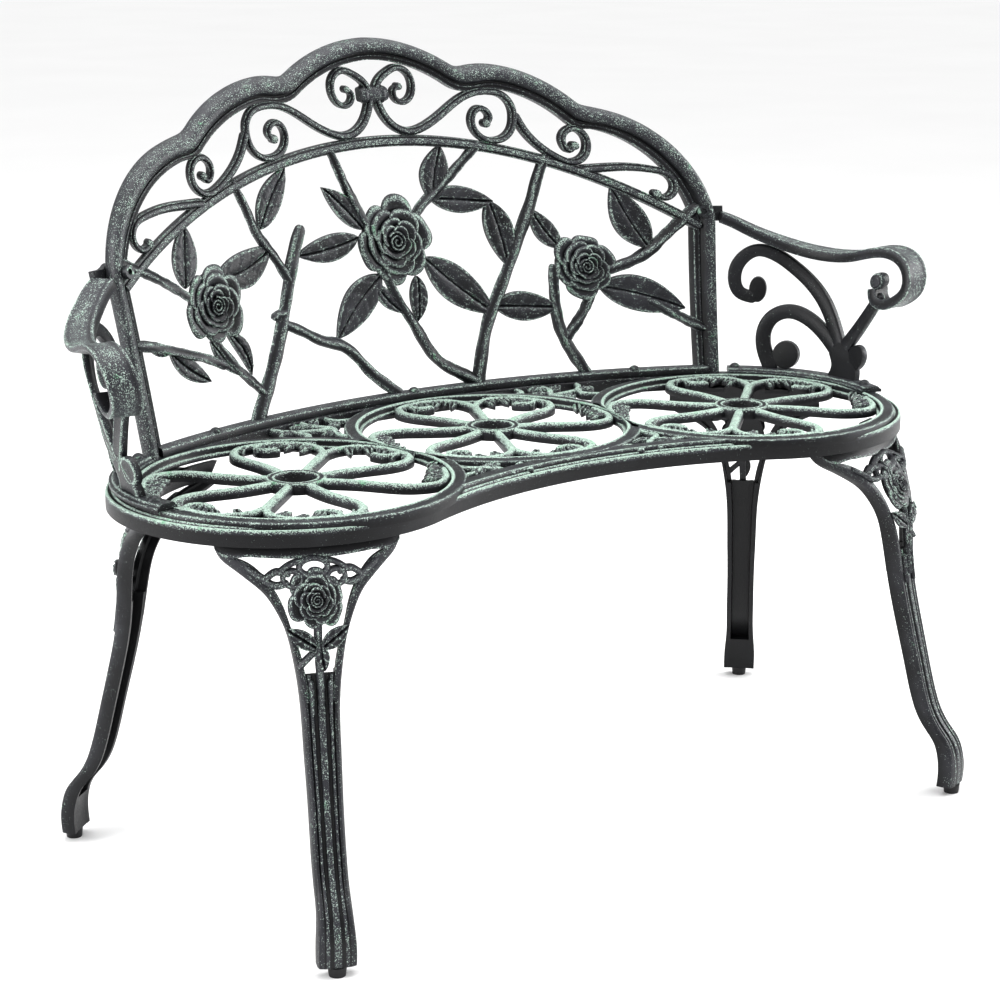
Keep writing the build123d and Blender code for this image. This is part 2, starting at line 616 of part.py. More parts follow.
def leg_sheet(front, rear):
    """Bowed band that follows the leg's curved face from top to foot."""
    path = Spline(*[Vector(0, -r, z) for z, r in LEG_FACE])
    span = 96.0
    top_z, top_r = LEG_FACE[0]
    def arc(off):
        r = LEG_PLAN_R
        sag = r - sqrt(r * r - span * span)
        return ThreePointArc((-span, -top_r + off + sag), (0, -top_r + off), (span, -top_r + off + sag))
    near, far = arc(front), arc(rear)
    face = Face(Wire([near, Line(near @ 1, far @ 1), far, Line(far @ 0, near @ 0)]))
    return sweep(Pos(0, 0, top_z) * face, path=path, normal=Vector(0, 0, 1))


def leg_front_view(sketch):
    """Front-view sketch drawn out towards the leg's face."""
    return extrude(Plane.XZ * sketch, amount=340, dir=(0, -1, 0))


def leg_relief(sketch, front, rear):
    """Ornament that stands flat on the leg's face between two depths."""
    return extrude(Plane.XZ.offset(-rear) * sketch, amount=rear - front, dir=(0, -1, 0))


def leg():
    """One leg, facing the front, with the middle of the seat's round end on the Z axis."""
    outside = leg_front_view(leg_outline() - leg_openings())
    body = outside & leg_sheet(0, LEG_DEPTH)
    window = Pos(0, (HOLLOW_LOW + EAR_BOTTOM) / 2) * Rectangle(200, EAR_BOTTOM - HOLLOW_LOW)
    hollow = leg_outline(LEG_WALL) & (Sketch() + window)
    body -= leg_front_view(hollow) & leg_sheet(LEG_WALL, LEG_DEPTH + 20)
    face = -LEG_ROSE_OUT
    rose = leg_relief(blossom((0, LEG_ROSE_Z), LEG_ROSE_R), face - 7, face + 4)
    heart = leg_relief(disc((0, LEG_ROSE_Z), 0.45 * LEG_ROSE_R), face - 11, face - 6)
    sprig = joined([leaf((0, 303), (-28, 321), 15), leaf((0, 303), (28, 321), 15), leaf((0, 304), (-5, 281), 14),
                    bar((4, 299), (18, 286), 7)])
    sprig = leg_relief(sprig, -LEG_SPRIG_OUT, -LEG_SPRIG_OUT + 9)
    body = body + rose + heart + sprig
    body -= Pos(0, -GLIDE_R_OUT, LEG_BOTTOM) * Cylinder(STUD_R + CONTACT_GAP, 52)
    return body


def leg_ears(which):
    """Two flat ears at the leg's top that are bolted up under the seat."""
    x, y = leg_bolt_offset(which)
    near, far = (-136.0, -158.0) if which.startswith("front") else (-150.0, -196.0)
    body = Part()
    for side in (1, -1):
        ear = Pos(side * x, (near + far) / 2) * Rectangle(EAR_WIDTH, near - far)
        body += band(EAR_BOTTOM, PLATE_BOTTOM, Sketch() + ear)
    return body


def drilled_leg(plain, which):
    """A leg with its ears, bolt holes and room for the screw heads, set at its corner."""
    body = plain + leg_ears(which)
    x, y = leg_bolt_offset(which)
    for side in (1, -1):
        body -= drill(side * x, y, EAR_BOTTOM - 1, PLATE_BOTTOM + 1)
        body -= drill(side * x, y, EAR_BOTTOM - 20, EAR_BOTTOM, 6.5)
    return place_leg(body, which)


def place_leg(body, which):
    """Moves a front-facing leg to one of the bench's corners."""
    side = 1 if which.endswith("right") else -1
    middle = Pos(side * LOBE_X, LOBE_Y, 0)
    if which.startswith("front"):
        return middle * Rot(0, 0, side * LEG_FRONT_DEG) * body
    return middle * Rot(0, 0, side * LEG_REAR_DEG) * Pos(0, LEG_REAR_BACK, 0) * body


CORNERS = ["front_left", "front_right", "rear_left", "rear_right"]


def leg_bolt_offset(which):
    """Bolt position beside the middle of the leg's top, in the leg's own frame."""
    return (38.0, -154.0) if which.startswith("front") else (38.0, -192.0)


def leg_bolt_places():
    places = []
    for which in CORNERS:
        x, y = leg_bolt_offset(which)
        for side in (1, -1):
            spot = place_leg(Vertex(side * x, y, 0), which).center()
            places.append((spot.X, spot.Y))
    return places


# ---------------------------------------------------------------- fasteners and glides
def dome_bolt(x, y, seat_z, low, head_r=6.5, head_h=4.5):
    """Upright bolt with a domed head standing on a face."""
    sphere_r = (head_r ** 2 + head_h ** 2) / (2 * head_h)
    head = Pos(x, y, seat_z + head_h - sphere_r) * Sphere(sphere_r)
    head = head & (Pos(x, y, seat_z + head_h / 2) * Cylinder(head_r + 1, head_h))
    return head + drill(x, y, low, seat_z, BOLT_R)


def hex_nut(x, y, top, thick=5.0):
    body = band(top - thick, top, Sketch() + Pos(x, y) * RegularPolygon(5.8, 6))
    return body - drill(x, y, top - thick - 1, top + 1, BOLT_R + 0.05)


def back_bolts():
    return [dome_bolt(x, y, BOTTOM_RAIL_TOP, PLATE_BOTTOM - 8) for x, y in back_bolt_places()]


def back_nuts():
    return [hex_nut(x, y, PLATE_BOTTOM) for x, y in back_bolt_places()]


def arm_foot_bolts():
    return [dome_bolt(x, y, FLANGE_TOP, PLATE_BOTTOM - 8) for x, y in arm_bolt_places()]


def arm_foot_nuts():
    return [hex_nut(x, y, PLATE_BOTTOM) for x, y in arm_bolt_places()]


def leg_bolts():
    """Round-headed screws that go up through the leg ears into blind holes in the seat."""
    bodies = []
    for x, y in leg_bolt_places():
        head = drill(x, y, EAR_BOTTOM - 4, EAR_BOTTOM, 5.5)
        bodies.append(head + drill(x, y, EAR_BOTTOM, LEG_BOLT_TOP, BOLT_R))
    return bodies


def arm_back_bolt():
    """Socket-head bolt through the backrest's upright and the arm's lug."""
    head = along_bolt(-BOLT_HEAD_H - LUG_FACE, -LUG_FACE, Circle(7.2))
    head -= along_bolt(-BOLT_HEAD_H - LUG_FACE - 1, -LUG_FACE - 3, Circle(3.4))
    return head + along_bolt(-LUG_FACE, LUG_FACE + LUG_THICK + 8, Circle(BOLT_R))


def arm_back_nut():
    near = LUG_FACE + LUG_THICK
    return along_bolt(near, near + 5.5, RegularPolygon(7.0, 6)) - along_bolt(0, near + 20, Circle(BOLT_R + 0.05))


def glide():
    """Black plastic foot under a leg, in the leg's own frame."""
    top = LEG_BOTTOM - CONTACT_GAP
    cup = Pos(0, 0, top / 2) * Cone(8.2, 9.3, top)
    return Pos(0, -GLIDE_R_OUT, 0) * cup


def glide_stud():
    top = LEG_BOTTOM - CONTACT_GAP
    return Pos(0, -GLIDE_R_OUT, top + STUD_LENGTH / 2) * Cylinder(STUD_R, STUD_LENGTH)


# ---------------------------------------------------------------- every part by name
def both_sides(body):
    return [body, mirror(body, Plane.YZ)]


def all_parts():
    arm = arm_right()
    plain_leg = leg()
    parts = {
        "seat": [seat()],
        "backrest": [backrest()],
        "arm_right": [arm],
        "arm_left": [mirror(arm, Plane.YZ)],
        "back_bolts": back_bolts(),
        "back_nuts": back_nuts(),
        "arm_foot_bolts": arm_foot_bolts(),
        "arm_foot_nuts": arm_foot_nuts(),
        "arm_back_bolts": both_sides(arm_back_bolt()),
        "arm_back_nuts": both_sides(arm_back_nut()),
        "leg_bolts": leg_bolts(),
    }
    for which in CORNERS:
        parts["leg_" + which] = [drilled_leg(plain_leg, which)]
        parts["glide_" + which] = [place_leg(glide(), which)]
        parts["glide_stud_" + which] = [place_leg(glide_stud(), which)]
    return parts


def solids_of(shapes):
    found = []
    for shape in shapes:
        found += list((Pos(0, -PLAN_CENTRE_Y, 0) * shape).solids())
    return found


for name, shapes in all_parts().items():
    group = solids_of(shapes)
    whole = group[0] if len(group) == 1 else Compound(children=group)
    export_step(whole, "parts/" + name + ".step")
    size = whole.bounding_box()
    print(name, len(group), "solids, box", [round(v, 1) for v in (*size.min, *size.max)])
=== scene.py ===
import math

import bmesh
import bpy
import numpy as np
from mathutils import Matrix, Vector


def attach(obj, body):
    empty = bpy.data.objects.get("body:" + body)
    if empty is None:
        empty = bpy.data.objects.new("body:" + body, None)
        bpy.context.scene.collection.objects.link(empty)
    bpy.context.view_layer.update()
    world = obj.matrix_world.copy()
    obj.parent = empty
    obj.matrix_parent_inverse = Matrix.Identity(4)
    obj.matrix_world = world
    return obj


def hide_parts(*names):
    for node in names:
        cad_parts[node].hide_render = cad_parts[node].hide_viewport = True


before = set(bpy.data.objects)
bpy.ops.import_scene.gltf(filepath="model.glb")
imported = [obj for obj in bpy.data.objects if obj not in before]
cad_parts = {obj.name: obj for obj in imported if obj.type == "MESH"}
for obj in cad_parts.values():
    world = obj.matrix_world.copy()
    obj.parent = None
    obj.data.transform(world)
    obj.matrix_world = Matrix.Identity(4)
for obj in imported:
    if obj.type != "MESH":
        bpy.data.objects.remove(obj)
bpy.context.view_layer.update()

# The bench is drawn in millimetres in the CAD drawing's own axes. to_row() turns them into the row frame.
# The floor, lamps and camera are in metres.
MM = 0.001
PLAN_CENTRE_Y = 39.7

SEAT_TOP, PLATE_BOTTOM, SKIRT_BOTTOM = 415.0, 404.0, 392.0
LOBE_X, LOBE_Y, LOBE_R = 300.0, 8.0, 180.0
FRONT_ARC_Y, FRONT_ARC_R = -590.0, 489.0
REAR_ARC_Y, REAR_ARC_R = -663.0, 915.0
DISCS = [((0.0, 75.8), 147.3), ((292.3, 0.0), 156.6), ((-292.3, 0.0), 156.6)]
HUB_R, HUB_HOLE_R = 31.2, 21.0

BACK_Y, BACK_RADIUS, BACK_LEAN = 241.0, 853.6, 0.234
RAIL_ARCH_R, RAIL_ARCH_TOP, RAIL_WIDTH, RAIL_HALF_SPAN = 689.0, 703.0, 12.5, 380.0
BOTTOM_RAIL_Z, BOTTOM_RAIL_HEIGHT, BOTTOM_RAIL_HALF_SPAN = 419.6, 8.8, 366.0
KNOT_Z, KNOT_HALF = 756.0, 17.5
# Place, radius and turn of each rose.
ROSES = [(-258.0, 552.0, 42.0, .4), (1.0, 592.0, 49.0, 1.3), (239.0, 547.0, 38.0, 2.4)]

ARM_R, ARM_FLARE, ARM_FOOT_Z = 165.0, 0.22, 418.0
STRAP_STRAIGHT = 22.0     # foot length from which the arm rest runs straight on to the front
STRAP_THICK = 12.0
ROLL_U, ROLL_Z = -22.0, 539.0
FLANGE_DEG = (-17.0, 56.0)
ARM_BOLT_X, ARM_BOLT_Z = 386.0, 604.0
LUG_FACE, LUG_R = 8.9, 13.0
LEG_PLAN_R = 172.0
EAR_X, EAR_HALF = 38.0, 14.0
LEG_FRONT_DEG, LEG_REAR_DEG, LEG_REAR_BACK = 21.5, 138.3, 30.0


def to_row(x, y, z):
    """Drawing coordinates in mm to points of the row frame in m."""
    return np.stack(np.broadcast_arrays(x, y - PLAN_CENTRE_Y, z), -1) * MM


# ---------------- curves in a flat drawing
def length_along(points):
    """Distance from the first point to each point along the polyline."""
    steps = np.linalg.norm(np.diff(points, axis=0), axis=1)
    return np.concatenate([[0.0], np.cumsum(steps)])


def evenly(points, step):
    """The same polyline with points about one step apart."""
    s = length_along(points)
    at = np.linspace(0, s[-1], max(3, int(math.ceil(s[-1] / step)) + 1))
    return np.stack([np.interp(at, s, points[:, k]) for k in range(points.shape[1])], 1)


def smooth(points, step=2.5):
    """Natural cubic through the points, sampled about one step apart."""
    p = np.array(points, float)
    if len(p) == 2:
        return evenly(p, step)
    t = length_along(p)
    h = np.diff(t)
    a, r = np.eye(len(p)), np.zeros_like(p)
    for i in range(1, len(p) - 1):
        a[i, i - 1:i + 2] = h[i - 1], 2 * (h[i - 1] + h[i]), h[i]
        r[i] = 6 * ((p[i + 1] - p[i]) / h[i] - (p[i] - p[i - 1]) / h[i - 1])
    m = np.linalg.solve(a, r)
    u = np.linspace(0, t[-1], 30 * len(p))
    i = np.clip(np.searchsorted(t, u, "right") - 1, 0, len(p) - 2)
    w = h[i][:, None]
    left = (t[i + 1] - u)[:, None] / w
    right = 1 - left
    q = left * p[i] + right * p[i + 1] + ((left**3 - left) * m[i] + (right**3 - right) * m[i + 1]) * w * w / 6
    return evenly(q, step)


def arc(a, m, b, count=24):
    """Points on the circle from a through m to b."""
    (ax, ay), (mx, my), (bx, by) = a, m, b
    d = 2 * (ax * (my - by) + mx * (by - ay) + bx * (ay - my))
    a2, m2, b2 = ax * ax + ay * ay, mx * mx + my * my, bx * bx + by * by
    cx = (a2 * (my - by) + m2 * (by - ay) + b2 * (ay - my)) / d
    cy = (a2 * (bx - mx) + m2 * (ax - bx) + b2 * (mx - ax)) / d
    radius = math.hypot(ax - cx, ay - cy)
    first = math.atan2(ay - cy, ax - cx)
    turn = (math.atan2(by - cy, bx - cx) - first) % (2 * math.pi)
    middle = (math.atan2(my - cy, mx - cx) - first) % (2 * math.pi)
    if middle > turn:
        turn -= 2 * math.pi
    angles = first + turn * np.linspace(0, 1, count)
    return np.stack([cx + radius * np.cos(angles), cy + radius * np.sin(angles)], 1)


def polar(centre, radius, angle):
    return (centre[0] + radius * math.cos(angle), centre[1] + radius * math.sin(angle))


def around(count):
    """Angles of a full turn, without the last one."""
    return np.linspace(0, 2 * np.pi, count, endpoint=False)


def level(half_span, height, count):
    """Level line across a drawing, from the left to the right of its middle."""
    x = np.linspace(-half_span, half_span, count)
    return np.stack([x, np.full_like(x, height)], 1)


def tangents(points, ring=False):
    if ring:
        t = np.roll(points, -1, axis=0) - np.roll(points, 1, axis=0)
    else:
        t = np.gradient(points, axis=0)
    return t / np.maximum(np.linalg.norm(t, axis=1), 1e-9)[:, None]


def place_in_scene(name, data):
    obj = bpy.data.objects.new(name, data)
    bpy.context.scene.collection.objects.link(obj)
    return obj


# ---------------- shells
def section(front_half, back):
    """Closed cross-section. The front runs from the middle to the right edge as (across, height, wear)."""
    left = [(-s, h, w) for s, h, w in reversed(front_half)]
    rear = [(.97, -.75 * back, .2), (.75, -back, .2), (-.75, -back, .2), (-.97, -.75 * back, .2)]
    return np.array(left + list(front_half[1:]) + rear)


END_TURNS = (25, 48, 68, 84)      # degrees round a bar's rounded end at which it has a row of points
END_ROWS = len(END_TURNS)
SHELL_STEP = 37.0                 # keeps the paint's dashes of one shell apart from the next one's
SHARP_DEG = 42.0


class Casting:
    """Shells that make one casting, with how worn each point is and the direction of its grain."""

    def __init__(self):
        self.points, self.wear, self.grain, self.faces = [], [], [], []
        self.count = 0
        self.shells = 0

    def grid(self, points, wear, along=None, ring=False):
        """Rows of closed loops of points. Open rows are capped at both ends; a ring of rows is closed."""
        rows, cols = points.shape[:2]
        index = self.count + np.arange(rows * cols).reshape(rows, cols)
        onward = np.roll(index, -1, axis=0) if ring else index[1:]
        here = index if ring else index[:-1]
        quads = np.stack([here, np.roll(here, -1, 1), np.roll(onward, -1, 1), onward], -1).reshape(-1, 4)
        self.faces += quads.tolist()
        if not ring:
            self.faces += [index[0].tolist(), index[-1].tolist()]
        self.points.append(points.reshape(-1, 3))
        self.wear.append(np.broadcast_to(wear, (rows, cols)).reshape(-1))
        middle = points.mean(axis=1)
        if along is None:
            along = length_along(middle) / MM
        around = np.concatenate([
            
            np.zeros((rows, 1)), np.cumsum(np.linalg.norm(np.diff(points, axis=1), axis=2), axis=1)], 1) / MM
        grain = np.stack([
            around, np.broadcast_to(np.asarray(along)[:, None],
            (rows, cols)), np.full((rows, cols), SHELL_STEP * self.shells)], -1)
        self.grain.append(grain.reshape(-1, 3))
        self.count += rows * cols
        self.shells += 1

    def sweep(self, line, widths, profile, place, round_ends=True, lift=1.0, ring=False):
        """A cross-section run along a line. widths is (start, end) or one value for each point."""
        p = np.asarray(line, float)
        t = tangents(p, ring)
        half = (np.linspace(widths[0], widths[1], len(p)) if len(widths) == 2 else np.asarray(widths)) / 2
        lifts = np.broadcast_to(np.asarray(lift, float), (len(p),)).copy()
        if round_ends and not ring:
            for end, sign in ((0, -1), (-1, 1)):
                turns = np.radians(END_TURNS)
                extra = p[end] + sign * t[end] * (half[end] * np.sin(turns))[:, None]
                shrink = half[end] * np.cos(turns)
                lower = lifts[end] * (0.35 + 0.65 * np.cos(turns))
                if end == 0:
                    p = np.vstack([extra[::-1], p])
                    t = np.vstack([np.tile(t[0], (END_ROWS, 1)), t])
                    half = np.append(shrink[::-1], half)
                    lifts = np.append(lower[::-1], lifts)
                else:
                    p = np.vstack([p, extra])
                    t = np.vstack([t, np.tile(t[-1], (END_ROWS, 1))])
                    half = np.append(half, shrink)
                    lifts = np.append(lifts, lower)
        normal = np.stack([-t[:, 1], t[:, 0]], 1)
        s, h, w = profile[..., 0], profile[..., 1], profile[..., 2]
        s, h, w = (np.broadcast_to(v, (len(p), v.shape[-1])) if v.ndim == 1 else v for v in (s, h, w))
        across = p[:, None, :] + normal[:, None, :] * (s * half[:, None])[..., None]
        self.grid(place(across[..., 0], across[..., 1], h * lifts[:, None]), w, ring=ring)

    def band(self, outer, inner, profile, place, ring=False):
        """A cross-section stretched between two matching lines: 0 on the outer one and 1 on the inner one."""
        outer, inner = np.asarray(outer, float), np.asarray(inner, float)
        s, h, w = profile.T
        across = outer[:, None, :] + (inner - outer)[:, None, :] * s[None, :, None]
        self.grid(place(across[..., 0], across[..., 1], h), w, ring=ring)

    def button(self, centre, radii, profile, place, count=28, turn=0.0):
        """A round boss: rings of (share of the radius, height, wear) from its back edge to its middle."""
        a = around(count)
        s, h, w = np.array(profile, float).T
        x, y = radii[0] * np.cos(a), radii[1] * np.sin(a)
        u = centre[0] + s[:, None] * (x * math.cos(turn) - y * math.sin(turn))[None, :]
        v = centre[1] + s[:, None] * (x * math.sin(turn) + y * math.cos(turn))[None, :]
        self.grid(place(u, v, h[:, None]), w[:, None])

    def piece(self, name, material, body, *nodes):
        """The casting as one smooth mesh that rides a body and stands in for CAD nodes."""
        mesh = bpy.data.meshes.new(name)
        mesh.from_pydata(np.vstack(self.points).tolist(), [], self.faces)
        for label, kind, values in (("wear", "FLOAT", np.concatenate(self.wear)),
                                    ("grain", "FLOAT_VECTOR", np.vstack(self.grain))):
            attribute = mesh.attributes.new(label, kind, "POINT")
            field = "value" if kind == "FLOAT" else "vector"
            attribute.data.foreach_set(field, values.astype(np.float32).ravel())
        work = bmesh.new()
        work.from_mesh(mesh)
        bmesh.ops.recalc_face_normals(work, faces=work.faces)
        work.to_mesh(mesh)
        work.free()
        mesh.polygons.foreach_set("use_smooth", [True] * len(mesh.polygons))
        mesh.set_sharp_from_angle(angle=math.radians(SHARP_DEG))
        mesh.materials.append(material)
        obj = place_in_scene(name, mesh)
        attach(obj, body)
        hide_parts(*nodes)
        return obj


# ---------------- surfaces that the flat drawings lie on
def back_y(x, z):
    return BACK_Y - BACK_RADIUS + np.sqrt(BACK_RADIUS**2 - x**2) + BACK_LEAN * (z - SEAT_TOP)


def on_back(x, z, h):
    """Backrest drawing: x across, z up, h out of the leaning, bowed surface towards the sitter."""
    return to_row(x, back_y(x, z) - h, z)


def on_back_left(x, z, h):
    """The backrest drawing mirrored."""
    return on_back(-x, z, h)


def on_seat(x, y, h):
    """Seat drawing: x and y in plan, h the height above the floor."""
    return to_row(x, y, h)


def arm_surface(side):
    """Arm drawing on its cone: u along the foot from the seat's side to the rear, z up, off outwards."""
    def place(u, z, off):
        angle = u / ARM_R
        r = ARM_R + ARM_FLARE * (z - ARM_FOOT_Z) + off
        return to_row(side * (LOBE_X + r * np.cos(angle)), LOBE_Y + r * np.sin(angle), z)
    return place


LEG_FACE = smooth([
    (404, 166), (392, 171), (372, 182), (345, 196), (320, 205), (290, 210), (250, 215), (200, 226),
    (150, 239), (110, 250), (90, 258), (75, 268), (60, 280), (45, 285.7), (30, 288), (10, 287)], 3)[::-1]
LEG_HALF = smooth([
    (404, 89), (388, 89), (380, 86), (370, 74), (360, 60), (350, 48), (335, 38), (315, 29.5), (290, 24),
    (270, 21), (250, 19), (200, 17.5), (150, 16.5), (100, 16.5), (50, 17.5), (30, 19), (10, 19)], 3)[::-1]


def leg_face(z):
    return np.interp(z, LEG_FACE[:, 0], LEG_FACE[:, 1])


def leg_half(z):
    return np.interp(z, LEG_HALF[:, 0], LEG_HALF[:, 1])


def leg_surface(front, side):
    """Leg drawing to its corner: u across the leg, z up, h out from the leg's face."""
    turn = math.radians(side * (LEG_FRONT_DEG if front else LEG_REAR_DEG))
    back = 0.0 if front else LEG_REAR_BACK

    def place(u, z, h):
        sag = LEG_PLAN_R - np.sqrt(LEG_PLAN_R**2 - np.clip(u, -120, 120) ** 2)
        y = -leg_face(z) + sag - h + back
        x = u * side
        return to_row(side * LOBE_X + x * math.cos(turn) - y * math.sin(turn),
                      LOBE_Y + x * math.sin(turn) + y * math.cos(turn), z)
    return place


# ---------------- cross-sections
SCROLL = section([
    (0, 7.0, .62), (.3, 6.6, .55), (.52, 5.2, .35), (.62, 3.4, .05), (.74, 3.6, .5),
    (.9, 3.0, .75), (1.0, .8, .35), (1.0, -3.0, .1)], 6.5)
RAIL = section([
    (0, 7.0, .62), (.34, 6.9, .6), (.5, 6.0, .55), (.56, 3.6, .05), (.72, 3.6, .3),
    (.9, 3.2, .75), (1.0, 1.0, .4), (1.0, -3.5, .1)], 7.0)
TENDRIL = section([(0, 4.5, .6), (.55, 3.4, .5), (.9, 1.2, .4), (1.0, -1.0, .2)], 3.5)
PLATE = section([
    (0, 4.2, .28), (.66, 4.2, .3), (.8, 4.6, .85), (.94, 4.0, .9), (1.0, 2.4, .5), (1.0, -2.4, .15)], 4.5)


def twig_section(rows, seed):
    """Barked branch: an oval whose ridges wander along its length."""
    count = 18
    a = np.linspace(np.pi, -np.pi, count, endpoint=False)[None, :]
    f = np.linspace(0, 1, rows)[:, None]
    ridge = 0.5 + 0.5 * np.sin(4 * a + 1.6 * np.sin(5.1 * f + seed) + seed)
    knots = 0.05 * np.sin(17 * f + 2.3 * seed) + 0.04 * np.sin(41 * f + seed)
    bulge = 0.88 + 0.14 * ridge + knots
    s = np.cos(a) * bulge
    h = np.where(np.sin(a) > 0, 7.2, 5.8) * np.sin(a) * bulge
    wear = 0.14 + 0.62 * ridge * (np.sin(a) > -0.3)
    return np.stack([s, h, np.broadcast_to(wear, s.shape)], -1)


# ---------------- leaves and roses
def leaf(cast, place, base, tip, width, bend=0.0, height=3.6, back=3.6, veins=4, floor=0.0, rows=30, cols=23):
    """Leaf with a sunken midrib, slanting veins, two domed halves and a raised margin."""
    base, tip = np.array(base, float), np.array(tip, float)
    along = tip - base
    length = float(np.linalg.norm(along))
    along /= length
    side = np.array([-along[1], along[0]])
    t = np.linspace(0.0, 1.0, rows)
    swell = np.sin(np.pi * t**0.86) ** 0.8
    half = 0.5 * width * np.maximum(swell, 0.045)
    spine = base + np.outer(t * length, along) + np.outer(np.sin(np.pi * t) * bend, side)
    s = np.linspace(-1, 1, cols)
    a = np.abs(s)[None, :]
    dome = height * (0.35 + 0.65 * (1 - (1.9 * a - 0.95) ** 2))
    h = np.broadcast_to(dome, (rows, cols)).copy()
    wear = np.full((rows, cols), 0.30)
    off = a * half[:, None]
    rib = np.exp(-((off / 1.3) ** 2))
    h -= 1.7 * rib
    wear += 0.35 * np.exp(-(((off - 2.2) / 0.9) ** 2)) - 0.2 * rib
    for k in range(veins):
        start = (k + 0.55) / (veins + 0.6)
        line = (t[:, None] - start) * length - 0.75 * off
        vein = np.exp(-((line / 1.3) ** 2)) * (a < 0.93)
        h += -1.0 * vein + 0.7 * np.exp(-(((line - 2.4) / 1.2) ** 2))
        wear += 0.30 * np.exp(-(((line - 2.2) / 1.0) ** 2))
    rim = np.exp(-(((a - 0.95) / 0.07) ** 2)) * np.ones((rows, 1))
    h += 1.0 * rim
    wear += 0.55 * rim
    h = h * np.clip(half / (0.25 * width), 0.35, 1.0)[:, None] + 0.6 + floor
    under_s = np.array([1.0, 0.6, -0.6, -1.0])
    under_h = np.array([-0.7 * back, -back, -back, -0.7 * back]) + floor
    all_s = np.concatenate([np.broadcast_to(s, (rows, cols)), np.broadcast_to(under_s, (rows, 4))], 1)
    all_h = np.concatenate([h, np.broadcast_to(under_h, (rows, 4))], 1)
    all_w = np.concatenate([np.clip(wear, 0, 1), np.full((rows, 4), 0.15)], 1)
    across = spine[:, None, :] + side[None, None, :] * (all_s * half[:, None])[..., None]
    cast.grid(place(across[..., 0], across[..., 1], all_h), all_w)


def petal(cast, place, centre, middle, spread, reach, foot, base, lip, tilt, seed, thick):
    """One rose petal: rises from its foot to a curled lip and is higher along one side than the other."""
    rows, cols = 15, 12
    tau = np.linspace(-1, 1, rows)[:, None]
    f = np.linspace(0, 1, cols)[None, :]
    angle = middle + spread * tau
    edge = reach * (1 - 0.24 * np.abs(tau) ** 3.2 + 0.045 * np.sin(3.1 * tau + seed))
    r = foot + (edge - foot) * f
    curl = np.clip((f - 0.78) / 0.22, 0, 1)
    rise = base + (lip - base) * np.sin(0.5 * np.pi * np.clip(f / 0.86, 0, 1)) ** 1.5
    h = rise - 2.6 * curl**2 + tilt * tau + 0.5 * np.sin(6 * tau + seed) * f
    wear = 0.22 + 0.62 * np.exp(-(((f - 0.88) / 0.10) ** 2)) + 0.10 * np.abs(tau)
    wear = np.broadcast_to(wear, h.shape)
    under = h - thick - 1.2 * (1 - curl)
    loop_r = np.concatenate([r, r[:, ::-1]], 1)
    loop_h = np.concatenate([h, under[:, ::-1]], 1)
    loop_w = np.concatenate([wear, 0.25 * wear[:, ::-1]], 1)
    u = centre[0] + loop_r * np.cos(angle)
    v = centre[1] + loop_r * np.sin(angle)
    cast.grid(place(u, v, loop_h), loop_w)


# Petals in a ring, then their reach and foot as shares of the rose's radius, the height of foot and lip
# as shares of the rose's own height, and half the angle that one petal spans.
PETAL_RINGS = [
    (6, .98, .4, .02, .5, .72), (5, .76, .32, .16, .72, .8), (5, .57, .24, .3, .88, .78),
    (4, .4, .15, .4, .98, .95)]


def rose(cast, place, centre, radius, turn, top=14.0, floor=0.0, back=4.0):
    """Open rose: rings of overlapping petals round a coiled heart."""
    core = [(.3, floor - back, .1), (1.0, floor - back, .1), (1.02, floor + 1.0, .2),
            (.7, floor + .3 * top, .1), (.3, floor + .62 * top, .05), (.02, floor + .75 * top, 0.0)]
    cast.button(centre, (0.80 * radius, 0.80 * radius), core, place)
    thick = 1.6 if radius > 30 else 1.1
    for k, (count, reach, foot, base, lip, spread) in enumerate(PETAL_RINGS):
        for i in range(count):
            middle = turn + 0.9 * k + 2 * math.pi * i / count
            grow = 1 + 0.07 * math.sin(2.7 * i + 1.9 * k + turn)
            wide = spread * (0.86 if count > 5 else 1.0)
            petal(cast, place, centre, middle, wide, reach * radius * grow, foot * radius, floor + base * top,
                  floor + lip * top, 0.085 * top, 1.7 * i + k + turn, thick)
    a = np.linspace(0.0, 4.4 * math.pi, 70)
    r = radius * (0.04 + 0.20 * a / a[-1])
    coil = np.stack([centre[0] + r * np.cos(a + turn), centre[1] + r * np.sin(a + turn)], 1)
    heart = section([
        (0, 1.02 * top, .75), (.5, .97 * top, .6), (1.0, .8 * top, .2), (1.0, .45 * top, 0.0)], -0.4 * top)
    heart[:, 1] += floor
    cast.sweep(coil, (0.06 * radius, 0.075 * radius), heart, place, round_ends=False)


# ---------------- backrest
FRAME_RIB = np.array([
    (-.08, -3.0, .45), (-.03, 2.0, .5), (.04, 6.0, .5), (.12, 8.6, .55), (.26, 10.0, .55), (.42, 9.8, .5),
    (.54, 8.2, .4), (.63, 5.2, .2), (.67, 1.2, 0.0), (.73, .6, .05), (.755, 2.4, .6), (.81, 2.8, .4),
    (.85, 1.9, .1), (.93, 1.9, .25), (.99, 1.2, .8), (1.0, -.5, .3), (1.0, -8.0, .05), (.93, -12.5, .1),
    (.55, -14.5, .1), (.12, -14.0, .25), (-.06, -11.5, .35), (-.11, -7.5, .4)])
# Each arc of the frame runs from one point over the next to the one after. Right half, bottom to top.
FRAME_OUTER = [
    (381, 415), (390, 520), (398, 600), (367, 676), (300, 721), (281, 726), (262, 730), (200, 770),
    (150, 781), (132, 780), (115, 778), (60, 806), (0, 816)]
FRAME_INNER = [
    (360, 415), (368, 520), (376, 600), (339, 668), (268, 705), (256, 705), (248, 708), (200, 742),
    (150, 756), (118, 753), (105, 757), (52, 785), (0, 794)]
FRAME_COUNTS = [46, 34, 9, 30, 9, 28]


